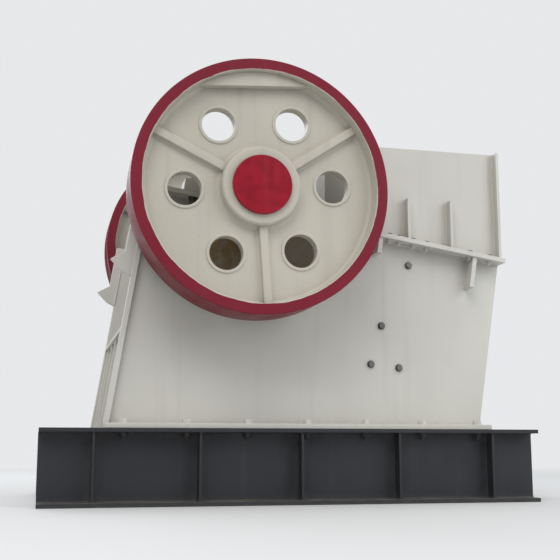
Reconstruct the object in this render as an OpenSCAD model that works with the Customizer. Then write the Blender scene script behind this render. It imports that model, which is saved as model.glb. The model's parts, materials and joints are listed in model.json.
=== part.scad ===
// Single-toggle jaw crusher on a base frame, millimetres.
// +Z is up, +X points to the feed end, and the eccentric shaft lies along Y.
// The origin is under the middle of the base frame, on the floor.
// The body leans towards the feed end, so most of it is drawn in its own leaning frame,
// which starts at the shaft centre.

/* [Crushing chamber] */
// Width of the two jaw plates
jaw_w = 1200; // [900:20:1400]
// Gap between the jaw plates at the top
gape = 780; // [650:10:850]
// Gap between the jaw plates at the bottom
setting = 150; // [100:5:220]
// Upright height of the jaw plates
jaw_h = 1380; // [1250:10:1400]
// Thickness of a jaw plate with its ridges
jaw_t = 110; // [90:2:130]
// Distance from one ridge to the next
ridge_pitch = 80; // [60:5:120]
// Height of a ridge
ridge_h = 32; // [15:1:40]
// Thickness of a cheek plate
cheek_t = 45; // [30:5:60]
// Gap beside the moving jaw
cheek_gap = 20; // [10:1:30]
// Top of the jaw plates below the underside of the top flange
jaw_drop = 40; // [30:5:60]
// Height of the bars that clamp the jaw plates
clamp_h = 70; // [50:5:90]
// Width of a clamping bar's thick edge
clamp_head = 40; // [30:2:50]
// Height of a clamping bar's thin edge
clamp_lip = 18; // [12:2:30]

/* [Body] */
// Lean of the body towards the feed end, in degrees
lean = 9; // [0:0.5:10]
// Lowest corner of the body above the floor
floor_gap = 40; // [20:5:120]
// Rear edge of the body behind the shaft
rear_reach = 645; // [600:5:720]
// Front edge of the body ahead of the shaft
front_reach = 1755; // [1740:5:1800]
// Lower edge of the body below the jaw plates
toe = 105; // [80:5:160]
// Top flange below the shaft centre
flange_drop = 45; // [30:5:80]
// Thickness of a side plate
side_t = 50; // [30:5:70]
// Thickness of the flanges round the body
flange_t = 30; // [20:2:45]
// Width of the top flange beyond the side plate
flange_w = 115; // [90:5:125]
// Thickness of the front wall
front_wall_t = 60; // [40:5:80]
// Depth of the ribs on the front wall
front_rib_d = 195; // [150:5:240]
// Thickness of the rear wall
rear_wall_t = 50; // [30:5:60]
// Depth of the ribs on the rear wall
rear_rib_d = 85; // [60:5:120]
// Rear wall above the toggle seat's shelves
rear_wall_rise = 150; // [100:10:250]
// Thickness of the ribs on the walls
rib_t = 30; // [16:2:50]
// Number of upright ribs on the front wall and on the rear wall
wall_ribs = 4; // [3:1:6]
// Ribs inside the edge of the flange that they hold
rib_setback = 15; // [5:1:30]
// Height of the ledge under the fixed jaw plate
ledge_h = 60; // [40:5:80]
// Reach of the rear wall's flanges inside the body
deck_d = 100; // [60:5:120]
// Step between the rear wall's edges and the body's
edge_step = 10; // [5:1:20]
// Width of the foot on the base frame
foot_w = 190; // [150:5:200]
// Thickness of the foot
foot_t = 30; // [20:2:45]
// Width of the stiffener down the rear edge of a side plate
edge_rib_w = 45; // [30:5:80]
// Place of the rear stub rib under the top flange, ahead of the shaft
stub_rear_x = 870; // [840:10:1000]
// Height of the rear stub rib
stub_rear_h = 120; // [80:10:200]
// Place of the front stub rib under the top flange, ahead of the shaft
stub_front_x = 1530; // [1400:10:1600]
// Height of the front stub rib
stub_front_h = 220; // [120:10:300]
// Top of the rear bracket below the shaft centre
bracket_top = 180; // [150:5:240]
// Bottom of the rear bracket below the shaft centre
bracket_low = 620; // [580:10:700]
// Tip of the rear bracket below the shaft centre
bracket_tip_drop = 540; // [500:10:560]
// Reach of the rear bracket's tip
bracket_tip = 140; // [100:5:180]
// Depth of the rear bracket
bracket_d = 60; // [40:5:80]

/* [Feed chute] */
// Top edge of the chute above the shaft centre
chute_rise = 425; // [300:5:500]
// Thickness of the chute plates
chute_t = 25; // [12:1:30]
// Foot of the chute's back plate ahead of the shaft
chute_back_foot = 530; // [520:5:560]
// Backward lean of the chute's back plate, in degrees
chute_back_lean = 9; // [0:1:12]
// Height of the chute's front lip above the top flange
lip_h = 130; // [80:5:200]
// Front edge of the chute ahead of the shaft
chute_front = 1725; // [1700:5:1820]
// Width of the stiffener on the chute's front edge
chute_rib_w = 60; // [40:5:90]
// Place of the rear gusset under the chute, ahead of the shaft
gusset_rear_x = 1070; // [1000:10:1150]
// Place of the front gusset under the chute, ahead of the shaft
gusset_front_x = 1370; // [1300:10:1450]
// Width of a gusset
gusset_w = 65; // [50:5:100]
// Thickness of a gusset
gusset_t = 20; // [12:1:30]
// Top of the gussets above the shaft centre
gusset_rise = 70; // [0:5:100]

/* [Flywheels] */
// Diameter of a flywheel
wheel_d = 1580; // [1400:10:1700]
// Width of a flywheel
wheel_w = 300; // [240:10:320]
// Distance over both flywheels
wheel_span = 2300; // [2280:10:2500]
// Thickness of the rim
rim_t = 70; // [50:5:100]
// Thickness of the web
web_t = 60; // [40:5:70]
// Web behind the front of the rim
web_inset = 100; // [60:5:110]
// Diameter of the hub
hub_d = 486; // [400:2:520]
// Diameter of the hub cap
cap_d = 364; // [300:2:380]
// Thickness of the hub cap
cap_t = 26; // [15:1:40]
// Diameter of the round holes in the web
hole_d = 206; // [120:2:220]
// Diameter of the circle that the holes lie on
hole_ring_d = 920; // [860:10:980]
// Number of round holes
hole_count = 6; // [3:1:6]
// Width of the raised edge round each hole
hole_edge = 20; // [10:1:25]
// Height of the raised edge round each hole
hole_lip = 12; // [6:1:20]
// Width of the spokes
spoke_w = 50; // [30:2:70]
// Number of spokes
spoke_count = 3; // [3:1:6]
// Height of the spokes above the web
spoke_h = 36; // [20:1:80]
// Turn of the flywheels at rest, in degrees
wheel_turn = 4; // [0:1:360]
// Height of the counterweight, from its straight edge to the inside of the rim
weight_h = 110; // [60:5:180]
// Thickness of the counterweight
weight_t = 60; // [30:2:80]
// Number of belt grooves in the drive flywheel
groove_count = 8; // [4:1:9]
// Distance from one belt groove to the next
groove_pitch = 28; // [26:1:30]
// Depth of a belt groove
groove_depth = 22; // [12:1:26]
// Width of a belt groove's floor
groove_floor = 12; // [10:1:16]

/* [Shaft and bearings] */
// Offset of the eccentric part of the shaft
throw = 15; // [8:1:18]
// Diameter of the shaft in the frame bearings
journal_d = 300; // [240:5:320]
// Diameter of the shaft in the moving jaw
eccentric_d = 380; // [370:5:400]
// Diameter of the shaft in the flywheels
seat_d = 260; // [200:5:290]
// Diameter of a bearing housing
housing_d = 560; // [500:10:600]
// Reach of the housing's feet from the shaft centre
housing_reach = 430; // [400:5:450]
// Thickness of the housing's feet
housing_foot_t = 80; // [50:5:120]
// Thickness of the ribs between a housing and its feet
housing_rib_t = 20; // [12:1:30]
// Top of these ribs round the housing, as an angle above the level
housing_rib_angle = 58; // [40:1:70]
// Reach of a housing inside the side plate
housing_nose = 30; // [20:2:40]
// Thickness of the bearing covers
cover_t = 22; // [12:1:25]
// Edge of a housing outside its cover
cover_edge = 25; // [15:1:40]

/* [Moving jaw] */
// Diameter of the moving jaw's barrel
barrel_d = 560; // [520:10:600]
// Thickness of the plate behind the moving jaw plate
jaw_skin = 70; // [50:5:90]
// Thickness of a rib behind it
jaw_rib_t = 45; // [30:5:60]
// Number of ribs
jaw_rib_count = 5; // [3:1:6]
// Lower end of the ribs above the end of the jaw plate
jaw_rib_end = 45; // [20:5:80]
// Depth of the toggle beam behind the jaw plate
beam_d = 190; // [170:5:220]
// Half the height of the toggle beam
beam_half = 120; // [100:5:140]
// Thickness of a lug for a tension rod
lug_t = 28; // [20:2:40]
// Radius of a lug
lug_r = 50; // [40:2:60]

/* [Toggle and tension rods] */
// Length of the toggle plate between its ends' centres
toggle_l = 690; // [640:5:720]
// Thickness of the toggle plate's middle
toggle_t = 56; // [40:2:70]
// Diameter of the toggle plate's rounded ends
toggle_end_d = 90; // [80:2:110]
// Width of the toggle plate
toggle_w = 840; // [600:10:960]
// Slope of the toggle plate, in degrees
toggle_slope = 10; // [5:1:14]
// Front end of the toggle plate above the lower end of the jaw plate, along the plate
toggle_rise = 546; // [500:5:600]
// Thickness of the toggle seat behind the toggle plate's rear end
seat_t = 130; // [110:5:150]
// Half the height of the toggle seat
seat_half = 130; // [110:5:150]
// Thickness of the two adjusting wedges together
wedge_t = 120; // [90:5:140]
// Thickness of the shelves above and below the toggle seat
shelf_t = 30; // [20:2:40]
// Diameter of the tension rods
rod_d = 56; // [40:2:64]
// Slope of the tension rods against the body, in degrees
rod_slope = 9; // [6:0.5:10]
// Pins of the tension rods above the lower end of the jaw plate, along the plate
rod_rise = 195; // [170:5:230]
// Pins of the tension rods behind the jaw plate
rod_back = 165; // [160:5:190]
// Radius of a pin
pin_r = 18; // [14:1:24]
// Thickness of a rod's eye
eye_t = 24; // [20:2:30]
// Mean diameter of the tension springs
spring_d = 165; // [140:5:190]
// Diameter of the spring wire
wire_d = 26; // [16:1:30]
// Length of a tension spring
spring_l = 215; // [180:5:240]
// Number of turns in a spring
spring_turns = 6; // [4:1:8]

/* [Base frame] */
// Length of the base frame
base_l = 3100; // [3060:10:3400]
// Height of the base frame
base_h = 450; // [420:5:480]
// Width of a base beam's flanges
beam_w = 220; // [200:5:300]
// Thickness of a base beam's flanges
beam_flange_t = 24; // [16:1:32]
// Thickness of a base beam's web
beam_web_t = 16; // [10:1:24]
// Number of stiffeners on a base beam
stiffener_count = 5; // [3:1:8]
// Width of a cross beam
cross_w = 160; // [120:5:200]
// Height of a cross beam
cross_h = 200; // [140:10:210]
// Thickness of a cross beam's web and flanges
cross_t = 14; // [8:1:20]
// Cross beams from the ends of the base frame
cross_inset = 130; // [100:5:160]
// Shaft centre behind the middle of the base frame
shaft_back = 300; // [280:5:320]
// Diameter of the anchor holes
anchor_d = 36; // [24:2:42]
// Anchor holes from the ends of the base frame
anchor_inset = 100; // [60:5:200]

/* [Clearances] */
// Gap between pieces that fit into one another
seat_gap = 0.3; // [0.2:0.1:0.5]
// Gap round the shaft where it runs in a bearing
running_gap = 0.2; // [0.1:0.05:0.25]
// Least gap between moving and standing pieces
clear = 6; // [5:1:10]
// Overlap of welded pieces that are one solid
weld = 1; // [0.5:0.5:2]
// Gap between plates that stand on one another
face_gap = 0.02; // [0.01:0.01:0.1]

/* [Hidden] */
$fn = 128;

cream = [0.80, 0.78, 0.72];
crimson = [0.55, 0.10, 0.18];
signal_red = [0.72, 0.12, 0.18];
slate = [0.19, 0.20, 0.22];
bare_steel = [0.52, 0.51, 0.49];
cast_steel = [0.40, 0.39, 0.38];

// Places across the machine, measured from its middle plane
jaw_half = jaw_w / 2;
cheek_in = jaw_half + cheek_gap;
side_in = cheek_in + cheek_t;
side_out = side_in + side_t;
flange_out = side_out + flange_w;
wheel_out = wheel_span / 2;
wheel_in = wheel_out - wheel_w;

// Heights in the leaning body, measured from the shaft
top_z = -flange_drop;
jaw_top_z = top_z - flange_t - jaw_drop;
jaw_low_z = jaw_top_z - jaw_h;
low_z = jaw_low_z - toe;

// Height of the shaft above the floor and above the base frame
shaft_z = floor_gap + front_reach * sin(lean) - low_z * cos(lean);
shaft_rise = shaft_z - base_h;

// Places along the leaning body, measured from the shaft
wall_x = front_reach - front_rib_d - front_wall_t;
fixed_face_x = wall_x - jaw_t;
swing_top_x = fixed_face_x - gape;
rear_panel_x = -rear_reach + rear_rib_d;

// Slope and length of the moving jaw plate
nip = atan((gape - setting) / jaw_h);
swing_l = jaw_h / cos(nip);

// Moving jaw
rib_half = jaw_half - clear;
rib_step = (2 * rib_half - jaw_rib_t) / (jaw_rib_count - 1);
orbit = throw + clear;
beam_z = -swing_l + toggle_rise;
toggle_head = die_point(-jaw_t - beam_d, beam_z);
toggle_heel = [
    toggle_head[0] - toggle_l * cos(toggle_slope),
    toggle_head[1] - toggle_l * sin(toggle_slope)
];

// Tension rods, which run midway between two ribs of the moving jaw
rod_y = 1.5 * rib_step;
rod_pin = die_point(-jaw_t - rod_back, -swing_l + rod_rise);
rod_pin_out = eye_t / 2 + clear + lug_t * 0.7;
rod_l = (rod_pin[0] + rear_reach - edge_step) / cos(rod_slope);
eye_r = pin_r + orbit + 2;
eye_out_r = eye_r + 20;
neck_l = lug_r + orbit + 4;
washer_t = 16;
washer_edge = 20;
rod_tail = 20;
nut_t = 30;
nut_r = rod_d * 0.85;

// Toggle seat, wedges and shelves
seat_back = toggle_heel[0] - seat_t;
wall_face = seat_back - wedge_t;
shelf_low = toggle_heel[1] - seat_half - shelf_t;
shelf_top = toggle_heel[1] + seat_half + shelf_t;
shelf_end = toggle_heel[0] - 5;
seat_w = toggle_w + 60;
rear_top = shelf_top + rear_wall_rise;

// Base frame
beam_in = side_out + clear;
beam_y = beam_in + beam_w / 2;
cross_x = base_l / 2 - cross_inset;

// A point given behind the moving jaw plate's face and up along it, in the body's own frame
function die_point(x, z) = [
    swing_top_x + x * cos(nip) - z * sin(nip),
    jaw_top_z + x * sin(nip) + z * cos(nip)
];

// A point of the body, given in the frame of the tension rods
function in_rod(x, z) = [
    (x - rod_pin[0]) * cos(rod_slope) + (z - rod_pin[1]) * sin(rod_slope),
    (z - rod_pin[1]) * cos(rod_slope) - (x - rod_pin[0]) * sin(rod_slope)
];

// A point on a circle a little inside the moving jaw's barrel
function in_barrel(angle, depth) = (barrel_d / 2 - depth) * [cos(angle), sin(angle)];

// Place of one rib of a row of n that divides the body's width evenly
function rib_y(i, n) = (i - (n - 1) / 2) * 2 * side_in / n;

// Height of the body's top at a level distance from the shaft, and of the base frame's top
// in the leaning body
function top_line(x) = top_z / cos(lean) - x * tan(lean);
function base_line(x) = (x * sin(lean) - shaft_rise) / cos(lean);

// Frames of reference
module at_shaft() {
    translate([-shaft_back, 0, shaft_z]) children();
}

module in_body() {
    at_shaft() rotate([0, lean, 0]) children();
}

module in_rotor() {
    at_shaft() rotate([0, -wheel_turn, 0]) children();
}

module in_jaw() {
    in_rotor() translate([0, 0, -throw]) rotate([0, wheel_turn + lean, 0]) children();
}

module along_die() {
    translate([swing_top_x, 0, jaw_top_z]) rotate([0, -nip, 0]) children();
}

module on_side(far) {
    mirror([0, far ? 1 : 0, 0]) children();
}

// A tension rod's own line, from its pin on the moving jaw to the rear
module along_rod(side) {
    translate([rod_pin[0], side * rod_y, rod_pin[1]]) rotate([0, -rod_slope, 0]) children();
}

// An outline drawn in X and Z, made solid from y0 to y1
module across(y0, y1) {
    translate([0, y1, 0]) rotate([90, 0, 0]) linear_extrude(y1 - y0) children();
}

// A box given by its least and greatest corners
module block(low, high) {
    translate(low) cube(high - low);
}

// A round bar along Y
module bar(r, y0, y1) {
    translate([0, y0, 0]) rotate([-90, 0, 0]) cylinder(r = r, h = y1 - y0);
}

// A round bar towards -X
module rod(r, x0, x1) {
    translate([-x0, 0, 0]) rotate([0, -90, 0]) cylinder(r = r, h = x1 - x0);
}

// I-beam with stiffeners on its outer side and anchor holes in its lower flange
module base_beam(far) {
    half = base_l / 2;
    out = beam_in + beam_w;
    stiffener_out = out - 12;
    color(slate) on_side(far) difference() {
        union() {
            block([-half, -out, 0], [half, -beam_in, beam_flange_t]);
            block([-half, -out, base_h - beam_flange_t], [half, -beam_in, base_h]);
            block([-half, -beam_y - beam_web_t / 2, 0], [half, -beam_y + beam_web_t / 2, base_h]);
            for (i = [0 : stiffener_count - 1]) {
                x = (i - (stiffener_count - 1) / 2) * base_l / stiffener_count;
                block([x - beam_web_t / 2, -stiffener_out, beam_flange_t],
                    [x + beam_web_t / 2, -beam_y, base_h - beam_flange_t]);
            }
        }
        for (x = [-half + anchor_inset, half - anchor_inset])
            translate([x, -beam_y - beam_w / 4, -1])
                cylinder(d = anchor_d, h = beam_flange_t + 2);
    }
}

// Channel between the two base beams
module cross_beam(front) {
    span = beam_y - beam_web_t / 2;
    web_x = front * (cross_w - cross_t) / 2;
    color(slate) translate([front * cross_x, 0, beam_flange_t]) {
        block([-cross_w / 2, -span, 0], [cross_w / 2, span, cross_t]);
        block([-cross_w / 2, -span, cross_h - cross_t], [cross_w / 2, span, cross_h]);
        block([web_x - cross_t / 2, -span, 0], [web_x + cross_t / 2, span, cross_h]);
    }
}

// Side plate with its flanges, saddle for the bearing housing and foot
module side_plate(far) {
    foot_rear = -rear_reach * cos(lean) + base_line(-rear_reach) * sin(lean);
    foot_front = front_reach * cos(lean) + base_line(front_reach) * sin(lean);
    color(cream) on_side(far) difference() {
        union() {
            in_body() {
                block([-rear_reach, -side_out, low_z], [front_reach, -side_in, top_z]);
                block([-rear_reach, -flange_out, top_z - flange_t], [front_reach, -side_in, top_z]);
                stub_rib(stub_rear_x, stub_rear_h);
                stub_rib(stub_front_x, stub_front_h);
                block([-rear_reach, -side_out - edge_rib_w, base_line(-rear_reach) + foot_t / 2],
                    [-rear_reach + rib_t, -side_in, top_z - flange_t / 2]);
            }
            at_shaft() block([foot_rear, -side_out - foot_w, -shaft_rise],
                [foot_front, -side_out + weld, -shaft_rise + foot_t]);
        }
        in_body() bar(housing_d / 2 + seat_gap, -flange_out - 1, -side_in + 1);
    }
}

// Short rib that holds up the top flange from below
module stub_rib(x, h) {
    block([x, -flange_out + rib_setback, top_z - flange_t / 2 - h],
        [x + rib_t, -side_out + weld, top_z - flange_t / 2]);
}

// Wall that carries the fixed jaw plate, with its four level flanges
module front_wall() {
    color(cream) in_body() {
        block([wall_x, -side_in, low_z], [wall_x + front_wall_t, side_in, top_z]);
        for (i = [0 : 3])
            block([wall_x + front_wall_t - weld, -side_in, front_flange_z(i)],
                [front_reach, side_in, front_flange_z(i) + flange_t]);
        block([fixed_face_x + ridge_h, -jaw_half, jaw_low_z - ledge_h],
            [wall_x + weld, jaw_half, jaw_low_z]);
    }
}

// Lower face of one of the four flanges of the front wall
function front_flange_z(i) = low_z + i * (top_z - flange_t - low_z) / 3;

// Upright ribs between the front wall's flanges
module front_wall_ribs() {
    color(cream) in_body() for (i = [0 : 2], k = [0 : wall_ribs - 1]) {
        y = rib_y(k, wall_ribs);
        block([
            wall_x + front_wall_t + face_gap,
            y - rib_t / 2,
            front_flange_z(i) + flange_t + face_gap
        ], [
            front_reach - rib_setback,
            y + rib_t / 2,
            front_flange_z(i + 1) - face_gap
        ]);
    }
}

// Ribbed wall at the rear, with the brackets that the tension springs stand on
module rear_wall() {
    low = low_z + edge_step;
    deck_x = rear_panel_x + rear_wall_t + deck_d;
    bore_front = rod_l - 200;
    bore_rear = rod_l + 50;
    color(cream) in_body() difference() {
        union() {
            block([rear_panel_x, -side_in, low], [rear_panel_x + rear_wall_t, side_in, rear_top]);
            block([-rear_reach, -side_in, rear_top - flange_t], [deck_x, side_in, rear_top]);
            block([-rear_reach, -side_in, low], [deck_x, side_in, low + flange_t]);
            for (i = [0 : wall_ribs - 1])
                block([-rear_reach + edge_step, rib_y(i, wall_ribs) - rib_t / 2, low + weld],
                    [rear_panel_x + weld, rib_y(i, wall_ribs) + rib_t / 2, rear_top - weld]);
            for (side = [-1, 1])
                spring_bracket(side);
        }
        for (side = [-1, 1])
            along_rod(side) rod(rod_d / 2 + clear, bore_front, bore_rear);
    }
}

// Plate with two gussets that hangs from the rear wall, square to the tension rod that it holds
module spring_bracket(side) {
    half = spring_d / 2 + wire_d;
    side_half = 9;
    side_y = half - 20;
    side_low = -half + 25;
    side_foot = 25;
    side_reach = 60;
    root = 12;
    plate_x = -rod_l + rib_t;
    flange_mid = low_z + edge_step + flange_t / 2;
    flange_rear = in_rod(-rear_reach + rib_t, flange_mid);
    flange_front = in_rod(rear_panel_x + rear_wall_t + side_reach, flange_mid);
    along_rod(side) {
        block([-rod_l, -half, -half], [plate_x, half, flange_rear[1] + root]);
        for (y = [-side_y, side_y])
            across(y - side_half, y + side_half) polygon([
                [plate_x - weld, side_low],
                [plate_x - weld, flange_rear[1]],
                flange_front,
                [plate_x + side_foot, side_low]
            ]);
    }
}

// Box girder behind the toggle seat: two shelves, the wall that takes the thrust, and ribs
module toggle_beam() {
    inner_x = rear_panel_x + rear_wall_t;
    color(cream) in_body() {
        for (z = [shelf_low, shelf_top - shelf_t])
            block([inner_x, -side_in, z], [shelf_end, side_in, z + shelf_t]);
        block([wall_face - rear_wall_t, -side_in, shelf_low], [wall_face, side_in, shelf_top]);
        for (i = [0 : wall_ribs - 1])
            block([inner_x, rib_y(i, wall_ribs) - rib_t / 2, shelf_low + weld],
                [wall_face - weld, rib_y(i, wall_ribs) + rib_t / 2, shelf_top - weld]);
    }
}

// Bearing housing that sits in the side plate's saddle and stands on the top flange
module bearing_housing(far) {
    housing_in = side_in - housing_nose;
    housing_out = wheel_in - clear - cover_t;
    rib_mid = -(housing_out + side_in) / 2;
    color(cream) on_side(far) in_body() difference() {
        union() {
            bar(housing_d / 2, -housing_out, -housing_in);
            block([-housing_reach, -housing_out, top_z],
                [housing_reach, -side_in, top_z + housing_foot_t]);
            for (end = [0, 1])
                mirror([end, 0, 0])
                    across(rib_mid - housing_rib_t / 2, rib_mid + housing_rib_t / 2)
                        housing_rib_outline();
        }
        bar(journal_d / 2 + running_gap, -housing_out - 1, -housing_in + 1);
    }
}

// Rib from a housing's foot up to its round part, with its roots inside both
module housing_rib_outline() {
    root = 12;
    foot_top = top_z + housing_foot_t;
    crown = housing_d / 2 - root;
    polygon([
        [crown * cos(housing_rib_angle), crown * sin(housing_rib_angle)],
        [crown * cos(housing_rib_angle), foot_top - root],
        [housing_reach - rib_setback, foot_top - root],
        [housing_reach - rib_setback, foot_top + root]
    ]);
}

// Round cover on the outer end of a bearing housing
module bearing_cover(far) {
    housing_out = wheel_in - clear - cover_t;
    color(cream) on_side(far) in_body() difference() {
        bar(housing_d / 2 - cover_edge, -housing_out - cover_t, -housing_out);
        bar(journal_d / 2 + clear, -housing_out - cover_t - 1, -housing_out + 1);
    }
}

// Ridged plate, its ridges along Z and its flat back at x = 0
module ridged_plate(w, h, t) {
    ridges = floor(w / ridge_pitch);
    step = w / ridges;
    linear_extrude(h) polygon(concat(
        [[0, -w / 2], [0, w / 2]],
        [for (i = [ridges - 1 : -1 : 0], p = ridge_points(step)) [p[0] + t, p[1] - w / 2 + i * step]]
    ));
}

// One ridge, from its far foot to its near foot, with a crown of a quarter of the pitch
function ridge_points(step) = [
    [-ridge_h, step],
    [-ridge_h, step * 0.88],
    [0, step * 0.625],
    [0, step * 0.375],
    [-ridge_h, step * 0.12]
];

// Outline of a bar that clamps a jaw plate, from the plate's back at x = 0
module clamp_outline(h) {
    polygon([
        [0, 0],
        [0, h],
        [clamp_head, h],
        [jaw_t - ridge_h, clamp_lip],
        [jaw_t - ridge_h, 0]
    ]);
}

module fixed_jaw_plate() {
    color(cast_steel) in_body() translate([wall_x, 0, jaw_low_z]) mirror([1, 0, 0])
        ridged_plate(jaw_w, jaw_h, jaw_t);
}

// Bar that holds the fixed jaw plate down
module fixed_jaw_wedge() {
    color(cast_steel) in_body() across(-jaw_half + clamp_head, jaw_half - clamp_head)
        translate([wall_x, jaw_top_z]) mirror([1, 0])
            clamp_outline(jaw_drop + flange_t - clear);
}

// Lining plate on the inside of a side plate
module cheek_plate(far) {
    edge = 20;
    top = die_point(-jaw_t + edge, -edge);
    low = die_point(-jaw_t + edge, -swing_l + edge);
    color(cast_steel) on_side(far) in_body() across(-side_in, -cheek_in) polygon([
        top,
        low,
        [wall_x, low[1]],
        [wall_x, top[1]]
    ]);
}

// Block that the rear end of the toggle plate bears on
module toggle_seat() {
    color(cast_steel) in_body() difference() {
        block([seat_back, -seat_w / 2, shelf_low + shelf_t],
            [toggle_heel[0] - 2, seat_w / 2, shelf_top - shelf_t]);
        translate([toggle_heel[0], 0, toggle_heel[1]])
            bar(toggle_end_d / 2 + seat_gap, -seat_w / 2 - 1, seat_w / 2 + 1);
    }
}

// Two wedges side by side that set the toggle seat
module adjusting_wedges() {
    mid = wall_face + wedge_t / 2;
    slip = wedge_t / 4;
    wedge_h = 2 * seat_half - 30;
    color(bare_steel) in_body() translate([0, 0, shelf_low + shelf_t])
        linear_extrude(wedge_h) {
            polygon([
                [wall_face, -seat_w / 2], [wall_face, seat_w / 2],
                [mid - slip, seat_w / 2], [mid + slip, -seat_w / 2]
            ]);
            polygon([
                [seat_back, seat_w / 2], [seat_back, -seat_w / 2],
                [mid + slip + seat_gap, -seat_w / 2], [mid - slip + seat_gap, seat_w / 2]
            ]);
        }
}

// Toggle plate with rounded ends
module toggle_plate() {
    half = toggle_w / 2;
    color(cast_steel) in_body() translate([toggle_heel[0], 0, toggle_heel[1]])
        rotate([0, -toggle_slope, 0]) {
            block([0, -half, -toggle_t / 2], [toggle_l, half, toggle_t / 2]);
            bar(toggle_end_d / 2, -half, half);
            translate([toggle_l, 0, 0]) bar(toggle_end_d / 2, -half, half);
        }
}

// Rods that draw the moving jaw back on to the toggle plate
module tension_rods() {
    spring_end = rod_l + spring_l;
    nut_end = spring_end + washer_t + nut_t;
    neck_half = rod_d / 2 - 4;
    root = 30;
    color(bare_steel) in_body() for (side = [-1, 1]) along_rod(side) {
        difference() {
            union() {
                bar(eye_out_r, -eye_t / 2, eye_t / 2);
                block([-neck_l - root, -eye_t / 2, -neck_half], [0, eye_t / 2, neck_half]);
            }
            bar(eye_r, -eye_t / 2 - 1, eye_t / 2 + 1);
        }
        rod(rod_d / 2, neck_l, nut_end + rod_tail);
        rod(spring_d / 2 + washer_edge, spring_end, spring_end + washer_t);
        rod(nut_r, spring_end + washer_t - weld, nut_end, $fn = 6);
    }
}

// Points round a ring of the spring wire at a share of the coil
function coil_ring(t, sides) = [
    for (k = [0 : sides - 1]) let (
        a = t * 360 * spring_turns,
        r = spring_d / 2 + wire_d / 2 * cos(k * 360 / sides),
        z = wire_d / 2 + t * (spring_l - wire_d) + wire_d / 2 * sin(k * 360 / sides)
    ) [r * cos(a), r * sin(a), z]
];

// A coil spring standing on z = 0
module coil_spring() {
    sides = 8;
    steps = 12 * spring_turns;
    points = [for (i = [0 : steps], p = coil_ring(i / steps, sides)) p];
    walls = [for (i = [0 : steps - 1], k = [0 : sides - 1]) [
        i * sides + k, i * sides + (k + 1) % sides,
        (i + 1) * sides + (k + 1) % sides, (i + 1) * sides + k
    ]];
    first = [for (k = [sides - 1 : -1 : 0]) k];
    last = [for (k = [0 : sides - 1]) steps * sides + k];
    polyhedron(points, concat([first], walls, [last]), convexity = 10);
}

module tension_springs() {
    color(crimson) in_body() for (side = [-1, 1])
        along_rod(side) translate([-rod_l, 0, 0]) rotate([0, -90, 0]) coil_spring();
}

// Side of the feed chute with its front stiffener and its gussets
module chute_side(far) {
    color(cream) on_side(far) at_shaft() {
        upright_plate(chute_back_foot - 20, chute_front, -side_out, -side_out + chute_t,
            chute_rise);
        upright_plate(chute_front - gusset_t, chute_front, -side_out - chute_rib_w,
            -side_out + weld, chute_rise);
        for (x = [gusset_rear_x, gusset_front_x])
            upright_plate(x - gusset_t / 2, x + gusset_t / 2, -side_out - gusset_w,
                -side_out + weld, gusset_rise);
    }
}

// A plate that stands on the leaning top flange and ends level
module upright_plate(x0, x1, y0, y1, rise) {
    across(y0, y1) polygon([
        [x0, top_line(x0) + face_gap],
        [x1, top_line(x1) + face_gap],
        [x1, rise],
        [x0, rise]
    ]);
}

// Plate across the chute over the moving jaw
module chute_back_plate() {
    color(cream) in_body() translate([chute_back_foot, 0, top_z])
        rotate([0, -chute_back_lean, 0])
            block([0, -side_out + chute_t, 0],
                [chute_t, side_out - chute_t, chute_rise - chute_rib_w / 2]);
}

// Low sloping plate across the front of the chute
module chute_front_lip() {
    lip_top = top_z + lip_h;
    lip_x = (chute_front - lip_top * sin(lean)) / cos(lean);
    color(cream) in_body() across(-side_out + chute_t, side_out - chute_t) polygon([
        [wall_x, top_z],
        [wall_x + chute_t, top_z],
        [lip_x, lip_top],
        [lip_x - chute_t, lip_top]
    ]);
}

// Bracket on the rear edge of a side plate
module rear_bracket(far) {
    color(cream) on_side(far) in_body() across(-side_out, -side_in) polygon([
        [-rear_reach, -bracket_top],
        [-rear_reach, -bracket_low],
        [-rear_reach - bracket_d, -bracket_low + bracket_d / 3],
        [-rear_reach - bracket_tip, -bracket_tip_drop],
        [-rear_reach - bracket_d, -bracket_tip_drop + bracket_d],
        [-rear_reach - bracket_d, -bracket_top]
    ]);
}

// Eccentric shaft with its journals
module eccentric_shaft() {
    end = wheel_out - cap_t - 4;
    color(bare_steel) in_rotor() {
        bar(seat_d / 2, -end, end);
        bar(journal_d / 2, -wheel_in, wheel_in);
        translate([0, 0, -throw]) bar(eccentric_d / 2, -jaw_half, jaw_half);
    }
}

// Flywheel with rim, web, hub, spokes and round holes; its front is at y = -wheel_out
module flywheel(far) {
    r = wheel_d / 2;
    inner = r - rim_t;
    front = -wheel_out;
    back = -wheel_in;
    web_front = front + web_inset;
    web_back = web_front + web_t;
    root = 10;
    color(cream) in_rotor() on_side(far) difference() {
        union() {
            difference() {
                bar(r, front, back);
                bar(inner, front - 1, web_front);
                bar(inner, web_back, back + 1);
            }
            bar(hub_d / 2, front + cap_t, back);
            at_holes() bar(hole_d / 2 + hole_edge, web_front - hole_lip, web_back + hole_lip);
            for (i = [0 : spoke_count - 1])
                rotate([0, -i * 360 / spoke_count - 30, 0])
                    block([hub_d / 2 - root, web_front - spoke_h, -spoke_w / 2],
                        [inner + root, web_back + spoke_h, spoke_w / 2]);
        }
        bar(seat_d / 2 + running_gap, front - 1, back + 1);
        at_holes() bar(hole_d / 2, web_front - spoke_h - 5, web_back + spoke_h + 5);
        if (far)
            for (i = [0 : groove_count - 1])
                translate([0, (front + back) / 2 + (i - (groove_count - 1) / 2) * groove_pitch, 0])
                    belt_groove(r);
    }
}

module at_holes() {
    for (i = [0 : hole_count - 1])
        rotate([0, -i * 360 / hole_count, 0]) translate([hole_ring_d / 2, 0, 0]) children();
}

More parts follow.
